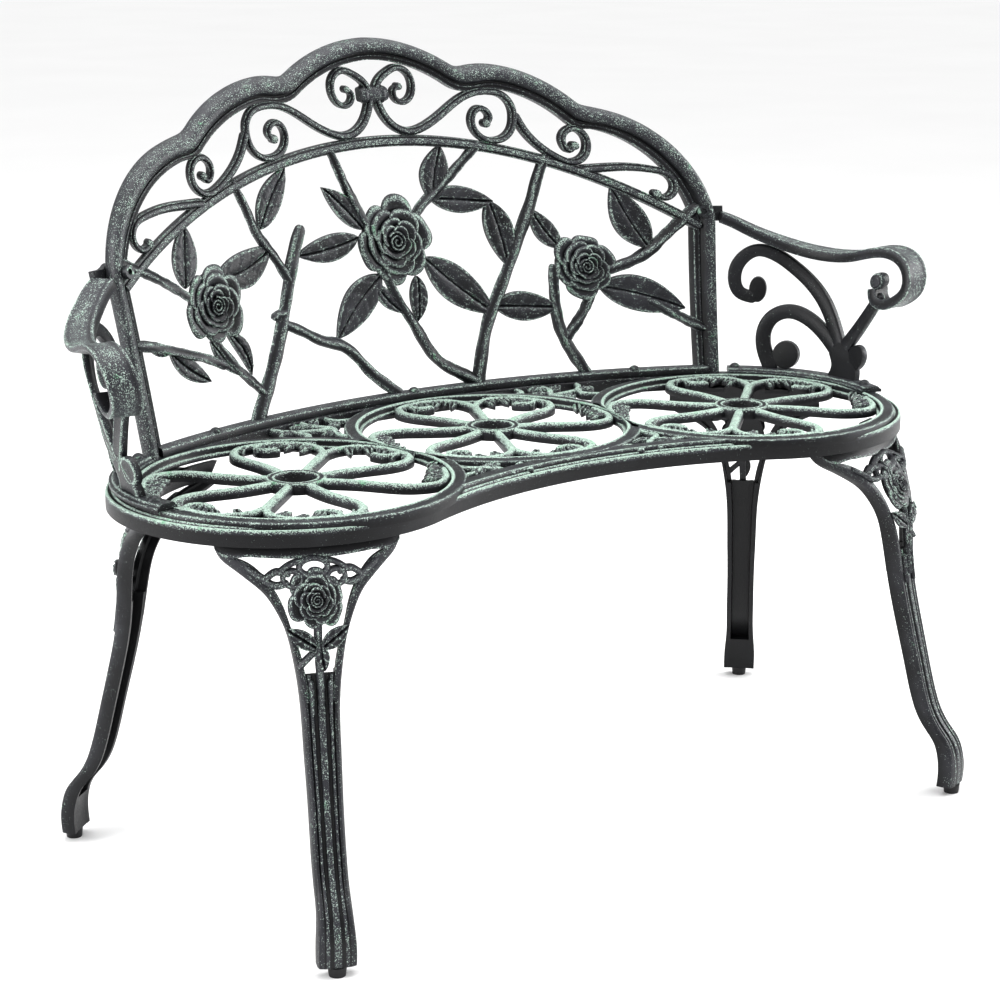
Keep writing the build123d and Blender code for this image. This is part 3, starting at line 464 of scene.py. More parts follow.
def frame_edges():
    """Outer and inner edge of the scalloped frame: a row of arcs, slightly rounded where they meet."""
    sides = []
    for chain in (FRAME_OUTER, FRAME_INNER):
        arcs = zip(chain[:-2:2], chain[1::2], chain[2::2], FRAME_COUNTS)
        line = np.vstack([arc(*points)[:-1] for points in arcs] + [chain[-1:]])
        for _ in range(3):
            line[1:-1] = (line[:-2] + 2 * line[1:-1] + line[2:]) / 4
        sides.append(np.vstack([line, line[-2::-1] * (-1, 1)]))
    return sides


# Bars: the points on the middle of the bar, its width at the start and its width at the end.
SCROLL_LINES = [
    ([(4, 760), (10, 770), (22, 779), (38, 784), (50, 777), (54, 763), (49, 750), (39, 745), (30, 749),
      (28, 758), (35, 763)], 9, 6),
    ([(4, 752), (8, 740), (16, 726), (30, 715), (45, 712), (62, 716), (90, 731), (115, 746), (135, 752),
      (152, 752), (168, 747), (177, 735), (178, 721), (173, 707), (162, 698), (148, 696), (134, 701),
      (126, 712), (126, 724), (134, 733), (144, 731), (148, 722), (142, 716)], 10, 7),
    ([(181, 722), (190, 705), (206, 687), (226, 673), (245, 667), (258, 673), (264, 686), (260, 700),
      (248, 706), (237, 700), (235, 689), (241, 681), (248, 686)], 10, 7),
    ([(256, 658), (280, 659), (310, 659), (338, 655), (353, 649), (359, 638), (355, 626), (345, 622),
      (337, 627)], 11, 7),
]

TWIG_LINES = [
    ([(-218, 420), (-196, 455), (-172, 500), (-156, 538), (-143, 572), (-131, 600), (-123, 614)], 20, 15),
    ([(-160, 531), (-173, 527)], 9, 9),
    ([(-206, 672), (-192, 642), (-182, 617), (-165, 594), (-149, 566)], 11, 12),
    ([(-163, 518), (-135, 505), (-110, 492), (-90, 486), (-71, 473), (-55, 454), (-35, 436), (-18, 423)],
     11, 16),
    ([(-200, 448), (-222, 468), (-245, 492), (-266, 520)], 11, 10),
    ([(-372, 528), (-338, 519), (-308, 508), (-282, 500), (-256, 488)], 12, 11),
    ([(-380, 613), (-356, 602), (-325, 586), (-292, 565)], 11, 11),
    ([(-67, 698), (-55, 665), (-42, 635), (-30, 612)], 11, 12),
    ([(-14, 556), (2, 520), (18, 492), (32, 465), (45, 450), (66, 437), (90, 423)], 11, 15),
    ([(90, 422), (100, 455), (113, 490), (130, 520), (151, 556), (170, 592), (185, 620), (197, 648),
      (209, 672)], 16, 12),
    ([(34, 616), (48, 630), (62, 640), (82, 655), (102, 671), (127, 692)], 11, 10),
    ([(204, 545), (201, 505), (204, 472), (214, 448), (229, 421)], 11, 15),
    ([(250, 520), (236, 496), (211, 466)], 10, 11),
    ([(378, 609), (358, 592), (338, 575), (315, 557), (290, 546), (264, 540)], 13, 13),
    ([(316, 500), (342, 485), (369, 469)], 12, 13),
]

# Leaves: the base, the tip, the width and how far the midrib bends.
LEAVES = [
    ((-294, 574), (-284, 640), 34, 0), ((-247, 577), (-165, 602), 38, -7), ((-178, 622), (-132, 684), 30, 2),
    ((-329, 514), (-275, 474), 22, -3), ((-268, 514), (-226, 471), 18, -2), ((-244, 522), (-216, 471), 18, 7),
    ((-36, 608), (-84, 658), 26, -2), ((-44, 600), (-131, 588), 29, 3), ((-20, 556), (-90, 492), 38, -3),
    ((-30, 548), (4, 510), 17, -3), ((28, 550), (21, 499), 22, 2), ((41, 569), (124, 499), 42, -2),
    ((124, 508), (204, 501), 34, 0), ((61, 632), (80, 694), 36, 2), ((58, 636), (139, 627), 31, 0),
    ((133, 628), (147, 553), 35, 3), ((216, 568), (184, 616), 25, 2), ((321, 564), (286, 636), 40, 2),
    ((258, 522), (354, 492), 42, 3), ((-358, 526), (-330, 512), 14, 0),
]


def knot(cast):
    """Collar where the scrolls of both halves meet, with a bead near each end."""
    profile = section([(0, 8.5, .55), (.45, 8.0, .5), (.8, 6.0, .4), (1.0, 2.0, .3), (1.0, -3.0, .1)], 7.0)
    line = level(KNOT_HALF, KNOT_Z, 25)
    x = line[:, 0]
    body = 12 + 7 * np.sqrt(np.clip(1 - (x / 18.5) ** 4, 0, 1))
    bead = np.exp(-(((np.abs(x) - 11.5) / 1.4) ** 2))
    groove = np.exp(-(((np.abs(x) - 8.0) / 1.2) ** 2))
    collar = 2.4 * (bead - 0.8 * groove)
    cast.sweep(line, body + collar, profile, on_back, round_ends=False, lift=1 + 0.05 * collar)


def scroll_band(cast):
    """Scrolls of both halves, each with a round eye in its curl."""
    eye = [(.4, -6.0, .1), (.95, -5.0, .1), (1.0, 2.0, .3), (.85, 5.2, .7), (.5, 7.2, .8), (.05, 7.8, .7)]
    for points, start, end in SCROLL_LINES:
        line = smooth(points, 2.2)
        for place in (on_back, on_back_left):
            cast.sweep(line, (start, end), SCROLL, place)
            cast.button(line[-1], (0.72 * end, 0.72 * end), eye, place, 18)


def arched_rail(cast):
    """Rail under the scroll band. Its ends run into the frame."""
    a = np.linspace(-1, 1, 200) * math.asin(RAIL_HALF_SPAN / RAIL_ARCH_R)
    arch = np.stack([RAIL_ARCH_R * np.sin(a), RAIL_ARCH_TOP - RAIL_ARCH_R + RAIL_ARCH_R * np.cos(a)], 1)
    cast.sweep(arch, (RAIL_WIDTH, RAIL_WIDTH), RAIL, on_back, round_ends=False)


def branches(cast):
    """The rose bushes' branches, with their bark carried round the ends."""
    for k, (points, start, end) in enumerate(TWIG_LINES):
        line = smooth(points, 2.5)
        bark = twig_section(len(line), k)
        rounded = np.concatenate([bark[:1]] * END_ROWS + [bark] + [bark[-1:]] * END_ROWS)
        cast.sweep(line, (start, end), rounded, on_back)


def bottom_rail(cast):
    """Rail on the seat, with a ledge that reaches forward."""
    rail = np.array([
        (-1.0, 11.5, .3), (-.8, 12.0, .2), (.35, 12.0, .3), (.6, 11.8, .8), (.9, 11.2, .6),
        (1.0, 9.8, .45), (1.0, -2.4, .4), (.8, -3.0, .3), (-1.0, -3.0, .1)])
    middle = level(BOTTOM_RAIL_HALF_SPAN, BOTTOM_RAIL_Z, 160)
    cast.sweep(middle, (BOTTOM_RAIL_HEIGHT, BOTTOM_RAIL_HEIGHT), rail, on_back, round_ends=False)


def build_backrest(material):
    cast = Casting()
    outer, inner = frame_edges()
    cast.band(outer, inner, FRAME_RIB, on_back)
    scroll_band(cast)
    arched_rail(cast)
    knot(cast)
    branches(cast)
    for base, tip, width, bend in LEAVES:
        leaf(cast, on_back, base, tip, width, bend)
    for x, z, radius, turn in ROSES:
        rose(cast, on_back, (x, z), radius, turn)
    bottom_rail(cast)
    return cast.piece("backrest_casting", material, "bench", "backrest")


# ---------------- seat
def seat_outline():
    """The kidney: two round ends joined by a hollow front arc and a full rear arc."""
    f = FRONT_ARC_R / (FRONT_ARC_R + LOBE_R)
    front = (LOBE_X * f, FRONT_ARC_Y + (LOBE_Y - FRONT_ARC_Y) * f)
    r = REAR_ARC_R / (REAR_ARC_R - LOBE_R)
    rear = (LOBE_X * r, REAR_ARC_Y + (LOBE_Y - REAR_ARC_Y) * r)
    loop = [
        arc((-front[0], front[1]), (0, FRONT_ARC_Y + FRONT_ARC_R), front, 200), arc(front,
        (LOBE_X + LOBE_R, LOBE_Y), rear, 300), arc(rear, (0, REAR_ARC_Y + REAR_ARC_R),
        (-rear[0], rear[1]), 300), arc((-rear[0], rear[1]), (-LOBE_X - LOBE_R, LOBE_Y),
        (-front[0], front[1]), 300)]
    return evenly(np.vstack(loop), 5.0)[:-1]


def reach_to_circle(start, direction, centre, radius):
    """Distance along a direction to a circle from outside it, or infinity."""
    to = np.asarray(centre) - start
    ahead = float(to @ direction)
    miss = float(to @ to) - ahead * ahead
    if ahead <= 0 or miss >= radius * radius:
        return math.inf
    return ahead - math.sqrt(radius * radius - miss)


# Distance in from the outline, height and wear. The shelf's distances depend on how far off the rings are.
RIM = np.array([
    (0, SKIRT_BOTTOM, .1), (0, 403, .12), (.2, 406.6, .55), (1.0, 408.8, 1.0), (2.6, 409.2, .95),
    (3.6, 408.4, .25), (4.4, 407.6, .05), (5.8, 407.6, .1), (6.5, 409.6, .85), (7.8, 410.4, .8),
    (8.8, 409.8, .3), (9.4, 409.8, .1), (10.0, 413.4, .55), (11.0, 414.7, .85), (12.6, 414.6, .35),
    (0, 414.6, .35), (0, 413.6, .35), (0, PLATE_BOTTOM, 0), (5.0, PLATE_BOTTOM, 0), (5.0, SKIRT_BOTTOM, 0)])
RIM_SHELF = slice(15, 18)
SHELF_MOST = 26.0


def seat_rim(cast):
    """Skirt, beaded edge, groove and a flat shelf that reaches in to the rings."""
    outline = seat_outline()
    t = tangents(outline, ring=True)
    inward = np.stack([-t[:, 1], t[:, 0]], 1)
    distance, z, wear = RIM.T
    rows = []
    for p, n in zip(outline, inward):
        limit = min([SHELF_MOST] + [reach_to_circle(p, n, c, r) for c, r in DISCS])
        row = distance.copy()
        row[RIM_SHELF] = limit - 1.2, limit, limit
        rows.append(p + np.outer(row, n))
    across = np.array(rows)
    cast.grid(on_seat(across[..., 0], across[..., 1], z), wear, ring=True)


RING_OUT = 16.0           # how far a ring reaches out from its circle where no other ring is in the way
RING_LEAST = 2.4
RING = np.array([
    (RING_OUT, PLATE_BOTTOM, 0), (RING_OUT, 412.6, .3), (15.4, 414.4, .7), (14.0, 415.0, .5),
    (12.6, 414.9, .3), (5.2, 414.9, .3), (4.2, 415.0, .4), (3.4, 415.9, .9), (1.4, 416.0, 1.0),
    (.3, 415.0, .8), (0.0, 413.6, .25), (0.0, 410.0, .05), (-.6, 409.2, .7), (-3.0, 409.0, .95),
    (-3.8, 408.0, .5), (-3.8, 404.5, .05)])


def seat_ring(cast, which):
    """Beaded ring, narrower where it meets its neighbour."""
    centre, radius = DISCS[which]
    others = [DISCS[k] for k in range(len(DISCS)) if k != which]
    out, z, wear = RING.T
    inside = 20
    rows = []
    for angle in around(190):
        ray = np.array([math.cos(angle), math.sin(angle)])
        start = np.asarray(centre) + ray * (radius - inside)
        limit = min([RING_OUT] + [reach_to_circle(start, ray, c, r) - inside for c, r in others])
        off = np.where(out > 0, out * max(limit, RING_LEAST) / RING_OUT, out)
        rows.append(np.asarray(centre) + np.outer(radius + off, ray))
    across = np.array(rows)
    cast.grid(on_seat(across[..., 0], across[..., 1], z), wear, ring=True)


def seat_hub(cast, centre):
    """Washer at the middle of a ring, beaded round its edge and its hole."""
    profile = [
        (HUB_R, PLATE_BOTTOM, 0), (HUB_R, 412.8, .35), (30.2, 415.2, .85), (28.4, 415.6, .8),
        (27.4, 414.8, .3), (24.6, 414.8, .3), (23.6, 415.5, .8), (22.0, 415.4, .85),
        (HUB_HOLE_R, 413.4, .35), (HUB_HOLE_R, PLATE_BOTTOM, 0)]
    a = around(64)
    r, z, wear = np.array(profile).T
    x = centre[0] + np.cos(a)[:, None] * r
    y = centre[1] + np.sin(a)[:, None] * r
    cast.grid(on_seat(x, y, z), wear, ring=True)


SPOKE = np.array([
    (-1.0, 404.6, .05), (-1.0, 409.0, .2), (-.86, 412.6, .65), (-.5, 414.4, .92), (0.0, 415.2, .88),
    (.5, 414.4, .92), (.86, 412.6, .65), (1.0, 409.0, .2), (1.0, 404.6, .05)])
FILIGREE = np.array([
    (-1.0, 405.0, .05), (-1.0, 409.5, .3), (-.7, 413.0, .8), (0.0, 414.2, .85), (.7, 413.0, .8),
    (1.0, 409.5, .3), (1.0, 405.0, .05)])


def seat_sprig(cast, points, start, end, profile=FILIGREE):
    """Thin bar that ends in a small bead."""
    cast.sweep(smooth(points, 2.5), (start, end), profile, on_seat, round_ends=False)
    bead = [(.9, 405, 0), (1.0, 410, .3), (.8, 413, .8), (.05, 414.4, .8)]
    cast.button(points[-1], (end * 0.62, end * 0.62), bead, on_seat, 14)


def seat_leaf(cast, base, tip, width):
    leaf(cast, on_seat, base, tip, width, 0.0, height=2.6, back=5.2, veins=2, floor=411.2, rows=20, cols=15)


# Points as (distance in from the ring, share of the 45 degrees to the next spoke).
CROOK_END = [(13, .1), (5, .32), (3, .58)]
FORK_ARM = [(48, 0), (26, .09), (9, .26), (5, .5), (13, .72), (26, .7), (29, .54)]
FORK_LEAVES = [((2, .84), (24, .9), 10), ((10, .14), (36, .3), 9)]


def crook(cast, centre, ring_r, angle, turn):
    """Spoke whose outer end turns back along the ring and carries a spray of small leaves."""
    step = math.radians(45) * turn
    reach = ring_r - 32
    points = [polar(centre, HUB_R - 4, angle), polar(centre, reach * 0.6, angle),
              polar(centre, reach, angle - 0.02 * turn)]
    points += [polar(centre, ring_r - inward, angle + f * step) for inward, f in CROOK_END]
    cast.sweep(smooth(points, 2.5), (13.5, 8), SPOKE, on_seat, round_ends=False)
    for f, inward, width in ((.34, 30, 11), (.5, 27, 12), (.66, 23, 11), (.8, 17, 9)):
        seat_leaf(cast, polar(centre, ring_r + 1, angle + (f + 0.04) * step),
                  polar(centre, ring_r - inward, angle + (f - 0.12) * step), width)


def fork(cast, centre, ring_r, angle):
    """Spoke that parts into two curling arms, each round a small eye."""
    split = polar(centre, ring_r - 44, angle)
    stem = smooth([polar(centre, HUB_R - 4, angle), split], 4)
    cast.sweep(stem, (11, 12), SPOKE, on_seat, round_ends=False)
    for turn in (1, -1):
        step = math.radians(45) * turn
        points = [polar(centre, ring_r - inward, angle + f * step) for inward, f in FORK_ARM]
        seat_sprig(cast, points, 9.5, 6.5, SPOKE)
        for base, tip, width in FORK_LEAVES:
            ends = [polar(centre, ring_r - inward, angle + f * step) for inward, f in (base, tip)]
            seat_leaf(cast, *ends, width)


# Tracery in the corners between the rings, drawn for the right half.
SEAT_SPRIGS = [
    ([(122, -30), (127, -52), (112, -66), (98, -78), (96, -98)], 9, 8),
    ([(145, -80), (127, -78), (112, -66)], 9, 7), ([(66, -72), (76, -82), (72, -96)], 8, 8),
    ([(150, 126), (156, 150), (148, 170), (160, 190), (163, 222)], 9, 9),
    ([(200, 144), (186, 158), (192, 178), (205, 196), (208, 214)], 9, 8),
    ([(148, 170), (170, 172), (192, 178)], 8, 8),
    ([(108, 196), (124, 198), (130, 214), (128, 230)], 8, 8),
]
SEAT_LEAVES = [
    ((112, -66), (132, -92), 12), ((112, -66), (84, -62), 10), ((98, -80), (118, -96), 10),
    ((150, 148), (172, 156), 12), ((160, 190), (184, 204), 13), ((150, 176), (128, 188), 11),
    ((192, 178), (214, 176), 11), ((160, 196), (144, 214), 11),
]
SPOKES = 8


def build_seat(material):
    cast = Casting()
    seat_rim(cast)
    for which, (centre, radius) in enumerate(DISCS):
        seat_ring(cast, which)
        seat_hub(cast, centre)
        first = 22.5 if which == 0 else 0.0
        for i in range(SPOKES):
            angle = math.radians(first + 360 / SPOKES * i)
            if i % 4 == 1:
                fork(cast, centre, radius, angle)
            else:
                crook(cast, centre, radius, angle, -1 if i % 4 == 2 else 1)
    for sign in (1, -1):
        for points, start, end in SEAT_SPRIGS:
            seat_sprig(cast, [(sign * x, y) for x, y in points], start, end)
        for base, tip, width in SEAT_LEAVES:
            seat_leaf(cast, (sign * base[0], base[1]), (sign * tip[0], tip[1]), width)
    return cast.piece("seat_casting", material, "bench", "seat")


# ---------------- arms
STRAP_LINE = [
    (169, 598), (158, 593), (140, 583), (118, 573), (90, 564), (55, 559), (22, 562), (-8, 570), (-34, 572),
    (-53, 565), (-65, 548), (-64, 532), (-52, 520), (-35, 514), (-22, 519), (-18, 530)]
STRAP = np.array([
    (-.7, -15.0, .45), (-.95, -14.2, .8), (-1.0, -12.0, .55), (-.9, -10.4, .3), (-.88, -6.0, .56),
    (-.9, 1.0, .62), (-.88, 8.0, .56), (-.9, 12.4, .45), (-1.0, 14.0, .6), (-.95, 16.2, .85),
    (-.7, 17.0, .5), (-.25, 17.0, .3), (0.0, 16.2, .55), (.12, 13.0, .2), (.45, 3.0, .1),
    (.85, -9.0, .1), (1.0, -12.5, .2), (.95, -14.2, .5), (.7, -15.0, .3), (0.0, -15.0, .12)])


def strap_surface(side):
    """The arm's cone, left straight ahead in front of STRAP_STRAIGHT."""
    a = STRAP_STRAIGHT / ARM_R

    def place(u, z, off):
        ahead = np.maximum(STRAP_STRAIGHT - u, 0) * MM
        at = arm_surface(side)(np.maximum(u, STRAP_STRAIGHT), z, off)
        return at + np.stack([side * math.sin(a) * ahead, -math.cos(a) * ahead, 0 * ahead], -1)
    return place


def arm_rest(cast, side):
    """Waved strap, and the roll inside the curl at its front end."""
    strap = smooth(STRAP_LINE, 3.0)
    f = np.linspace(0, 1, len(strap))
    cast.sweep(strap, (STRAP_THICK, STRAP_THICK), STRAP, strap_surface(side), round_ends=False,
               lift=0.78 + 0.22 * np.minimum(1, 2.2 * f))
    a = around(26)
    roll = np.array([
        (-15.2, 3.6, .3), (-15.0, 6.0, .4), (-14.2, 6.6, .1), (-13.6, 8.6, .8), (-11.5, 9.6, .5),
        (-4, 9.7, .3), (0, 9.0, .2), (1.0, 6.0, .1)])
    off, radius, wear = roll.T[:, :, None]
    u = ROLL_U + radius * np.cos(a)
    z = ROLL_Z + radius * np.sin(a)
    cast.grid(strap_surface(side)(u, z, off), wear)


def arm_tracery(cast, place):
    """Three flat bars, with a boss where a bar curls back or meets another."""
    bars = [([(22, 448), (10, 466), (-2, 486), (-14, 508), (-20, 519)], 17, 13),
            ([(22, 452), (34, 474), (52, 503), (72, 525), (94, 543), (115, 556), (131, 559), (147, 548),
              (154, 528), (148, 509), (135, 504)], 15, 14),
            ([(28, 450), (48, 468), (72, 484), (94, 489), (112, 480), (120, 462), (118, 442), (110, 424)],
             15, 18)]
    for points, start, end in bars:
        cast.sweep(smooth(points, 3.0), (start, end), PLATE, place)
    boss = [(.5, -4.5, .1), (.97, -3.4, .1), (1.0, 2.6, .5), (.94, 4.2, .9), (.82, 4.6, .8),
            (.7, 4.3, .3), (.05, 4.5, .3)]
    cast.button((129, 513), (9.5, 15), boss, place)
    cast.button((92, 438), (16.5, 16.5), boss, place)
    cast.button((-4, 447), (14, 15), boss, place)


def arm_foot(cast, place, side):
    """Plate under the tracery and the flange on the seat's rim."""
    foot_left = smooth([(-13, 420), (-10, 434), (2, 446), (10, 458)], 3)
    foot_right = smooth([(33, 420), (29, 434), (36, 450), (30, 466)], 3)
    rows = min(len(foot_left), len(foot_right))
    plate = np.array([
        (0, -4.2, .1), (0, 3.0, .4), (.05, 4.4, .9), (.14, 4.5, .3), (.86, 4.5, .3), (.95, 4.4, .9),
        (1, 3.0, .4), (1, -4.2, .1)])
    cast.band(foot_left[:rows], foot_right[:rows], plate, place)
    angles = np.radians(np.linspace(*FLANGE_DEG, 60))
    flange = np.array([
        (150, 415.2, .1), (150, 418.4, .7), (152.4, 419.0, .3), (153.6, 421.2, .85), (155.6, 421.9, .4),
        (170.4, 421.9, .4), (172.4, 421.2, .85), (173.6, 419.0, .3), (176, 418.4, .7), (176, 415.2, .1)])
    x = LOBE_X + np.cos(angles)[:, None] * flange[:, 0]
    y = LOBE_Y + np.sin(angles)[:, None] * flange[:, 0]
    cast.grid(to_row(side * x, y, flange[:, 1]), flange[:, 2])


def arm_lug(cast, side):
    """Plate behind the backrest's upright that the strap runs into."""
    x, z = ARM_BOLT_X, ARM_BOLT_Z
    slope = x / math.sqrt(BACK_RADIUS**2 - x * x)
    out = Vector((slope, 1, -BACK_LEAN)).normalized()
    across = Vector((out.y, -out.x, 0)).normalized()
    up = out.cross(across)
    if up.z < 0:
        up = -up
    at = Vector((x, float(back_y(x, z)), z)) + out * LUG_FACE
    outline = [(LUG_R * math.cos(a), LUG_R * math.sin(a)) for a in np.radians(np.linspace(50, 310, 22))]
    outline += [(14, -10), (28, -10), (28, 8), (14, 8)]
    rows = []
    for depth, shrink in ((0, .94), (.8, 1.0), (7.2, 1.0), (8.0, .94)):
        row = [at + out * depth + across * (u * shrink) + up * (v * shrink) for u, v in outline]
        rows.append([(side * p.x, p.y, p.z) for p in row])
    p = np.array(rows)
    cast.grid(to_row(p[..., 0], p[..., 1], p[..., 2]), 0.3)


def build_arm(material, side, name):
    cast = Casting()
    place = arm_surface(side)
    arm_rest(cast, side)
    arm_tracery(cast, place)
    arm_foot(cast, place, side)
    arm_lug(cast, side)
    return cast.piece(name + "_casting", material, "bench", name)


# ---------------- legs
SHAFT_FRONT = [
    (0, .7, .55), (.16, .1, .6), (.22, -2.2, .05), (.37, -2.2, .1), (.44, -.5, .6), (.55, -.5, .6),
    (.62, -2.0, .1), (.7, -.5, .4), (.82, -.3, .4), (.93, -2.2, .35), (1.0, -6.0, .3), (1.0, -17.0, .1)]
LEG_TENDRILS = [([(25, 368), (34, 370), (46, 363)], 6, 6), ([(27, 360), (36, 358), (46, 362)], 6, 7),
                ([(12, 379), (24, 375), (33, 369)], 5, 5), ([(46, 363), (54, 368), (60, 372)], 7, 6)]
LEG_LOOPS = [((0, 373), (13.5, 7.8), 6.0), ((21, 363.8), (8.6, 6.6), 5.2), ((-21, 363.8), (8.6, 6.6), 5.2)]
LEG_LEAVES = [((-2, 302), (-29, 321), 16), ((2, 302), (30, 321), 16), ((0, 306), (-4, 280), 14)]
LEG_TOP_HALF, LEG_TOP_Z = 88.8, 403.9
SHAFT_TOP, FOOT_Z, SOLID_BELOW, PLAIN_BELOW = 276.0, 10.2, 52.0, 66.0


def leg_shaft(cast, place):
    """Ribbed channel below the openwork. It loses its ribs and closes behind towards the foot."""
    z = np.concatenate([np.linspace(SHAFT_TOP, 60, 84), np.linspace(57, FOOT_Z, 20)])
    line = np.stack([np.zeros_like(z), z], 1)
    left = [(-s, h, w) for s, h, w in reversed(SHAFT_FRONT)]
    channel = [(.68, -17.0, .1), (.62, -6.0, 0), (-.62, -6.0, 0), (-.68, -17.0, .1)]
    loop = np.array(left + SHAFT_FRONT[1:] + channel)
    profile = np.tile(loop, (len(z), 1, 1))
    profile[z < SOLID_BELOW, -3:-1, 1] = -16.8
    plain = np.clip((PLAIN_BELOW - z) / 30, 0, 1)[:, None]
    smooth_front = -0.3 - 2.0 * np.abs(profile[:, :, 0]) ** 6
    ribs = slice(1, len(left) + len(SHAFT_FRONT) - 2)
    limit = np.where(np.abs(profile[:, ribs, 0]) > 0.99, -6.0, 5.0)
    profile[:, ribs, 1] = (1 - plain) * profile[:, ribs, 1] + plain * np.minimum(smooth_front[:, ribs], limit)
    cast.sweep(line, 2 * leg_half(z), profile, place, round_ends=False)


def leg_side_rails(cast, place):
    """Rails of the openwork, from the shaft up to the corners of the top."""
    up = np.concatenate([np.linspace(250, 340, 30), np.linspace(343, 389, 26)])
    inner_line = smooth([
        (10, 250), (13, 270), (18.5, 300), (25, 320), (31, 340), (38, 354), (47, 366), (62, 377), (80, 383),
        (89, 389)], 1.0)
    inner = np.stack([np.interp(up, inner_line[:, 1], inner_line[:, 0]), up], 1)
    outer = np.stack([leg_half(up), up], 1)
    rail = np.array([
        (0, -17.2, .1), (0, -5.5, .25), (.1, -2.0, .3), (.3, .1, .4), (.55, .3, .45), (.82, -.2, .5),
        (.96, -1.0, .8), (1.0, -2.4, .3), (1.0, -7.0, 0), (.45, -8.5, 0), (.35, -17.2, 0)])
    for sign in (1, -1):
        cast.band(outer * (sign, 1), inner * (sign, 1), rail, place)


def leg_top(cast, place):
    """Plate under the seat, with a raised lower edge."""
    top = level(LEG_TOP_HALF, LEG_TOP_Z, 60)
    x = top[:, 0]
    edge = np.interp(np.abs(x), [0, 20, 60, 74, 84, LEG_TOP_HALF], [381.5, 380.5, 382, 380, 381, 386])
    plate = np.array([
        (0, -5.5, .05), (0, 0.0, .1), (.1, .2, .12), (.78, .2, .16), (.86, -.2, .3), (.92, .8, .75),
        (.99, .3, .6), (1.0, -1.4, .2), (1.0, -5.5, .05)])
    cast.band(top, np.stack([x, edge], 1), plate, place)


def leg_openwork(cast, place):
    """Loops and tendrils under the top, and the rose's stalk with a tendril down each side."""
    a = around(40)
    for centre, radii, width in LEG_LOOPS:
        line = np.stack([centre[0] + radii[0] * np.cos(a), centre[1] + radii[1] * np.sin(a)], 1)
        cast.sweep(line, [width] * len(line), TENDRIL, place, ring=True)
    for sign in (1, -1):
        for points, start, end in LEG_TENDRILS:
            cast.sweep(smooth([(sign * u, v) for u, v in points], 2.0), (start, end), TENDRIL, place)
    cast.sweep(smooth([(0, 326), (1, 300), (0, 270), (0, 250)], 2.5), (8.5, 7.5), TENDRIL, place)
    for sign in (1, -1):
        cast.sweep(smooth([(sign * 9, 268), (sign * 8.4, 240)], 2.5), (6.0, 4.0), TENDRIL, place, lift=0.8)
    cast.sweep(smooth([(4, 299), (18, 286)], 2.0), (6, 7), TENDRIL, place)


def build_leg(material, front, side, name):
    cast = Casting()
    place = leg_surface(front, side)
    leg_shaft(cast, place)
    leg_side_rails(cast, place)
    leg_top(cast, place)
    leg_openwork(cast, place)
    for base, tip, width in LEG_LEAVES:
        leaf(cast, place, base, tip, width, 0.0, height=2.6, back=1.0, veins=3, floor=2.4)
    rose(cast, place, (0, 346), 27.5, 0.7, top=9.0, floor=-0.5, back=4.0)
    ears(cast, place, front)
    return cast.piece(name + "_casting", material, "bench", name)


def ears(cast, place, front):
    """Two small ears inside the leg's top that take its screws."""
    near, far = (-158.0, -136.0) if front else (-196.0, -150.0)
    for sign in (1, -1):
        loops = []
        for z, grow in ((398.2, -.6), (398.8, 0), (403.4, 0), (403.9, -.6)):
            x0, x1 = sign * EAR_X - EAR_HALF - grow, sign * EAR_X + EAR_HALF + grow
            corners = [(x0, near - grow), (x1, near - grow), (x1, far + grow), (x0, far + grow)]
            u, y = np.array(corners).T
            sag = LEG_PLAN_R - np.sqrt(LEG_PLAN_R**2 - u**2)
            loops.append(place(u, np.full(4, z), -y - leg_face(z) + sag))
        cast.grid(np.array(loops), 0.1)


# ---------------- materials
def set_inputs(node, **values):
    for key, value in values.items():
        node.inputs[key.replace("_", " ")].default_value = value


class Nodes:
    """Small helper round one material's node tree."""

    def __init__(self, name):
        self.material = bpy.data.materials.new(name)
        self.material.use_nodes = True
        self.tree = self.material.node_tree
        self.shader = self.tree.nodes["Principled BSDF"]
        self.where = self.new("ShaderNodeTexCoord").outputs["Object"]

    def new(self, kind, **settings):
        node = self.tree.nodes.new(kind)
        for key, value in settings.items():
            setattr(node, key, value)
        return node

    def link(self, source, target):
        self.tree.links.new(source, target)

    def noise(self, vector, scale, detail=3.0, roughness=0.55, stretch=None):
        node = self.new("ShaderNodeTexNoise")
        set_inputs(node, Scale=scale, Detail=detail, Roughness=roughness)
        if stretch:
            mapping = self.new("ShaderNodeMapping")
            set_inputs(mapping, Scale=stretch)
            self.link(vector, mapping.inputs["Vector"])
            vector = mapping.outputs["Vector"]
        self.link(vector, node.inputs["Vector"])
        return node.outputs["Fac"]

    def math(self, operation, a, b=0.5):
        node = self.new("ShaderNodeMath", operation=operation)
        for value, socket in zip((a, b), node.inputs):
            if isinstance(value, (int, float)):
                socket.default_value = value
            else:
                self.link(value, socket)
        return node.outputs[0]

    def ramp(self, value, low, high, to_low=0.0, to_high=1.0):
        node = self.new("ShaderNodeMapRange", interpolation_type="SMOOTHSTEP")
        set_inputs(node, From_Min=low, From_Max=high, To_Min=to_low, To_Max=to_high)
        self.link(value, node.inputs["Value"])
        return node.outputs["Result"]

    def mix(self, factor, a, b):
        """Two colours mixed. A colour Mix node takes them in sockets 6 and 7 and gives socket 2."""
        node = self.new("ShaderNodeMix", data_type="RGBA")
        self.link(factor, node.inputs["Factor"])
        for value, key in ((a, 6), (b, 7)):
            if isinstance(value, tuple):
                node.inputs[key].default_value = (*value, 1)
            else:
                self.link(value, node.inputs[key])
        return node.outputs[2]


DARK, GREY = (.0055, .0058, .0072), (.042, .043, .051)
MINT, PALE_MINT, GREEN = (.3, .43, .35), (.52, .63, .57), (.2, .42, .27)


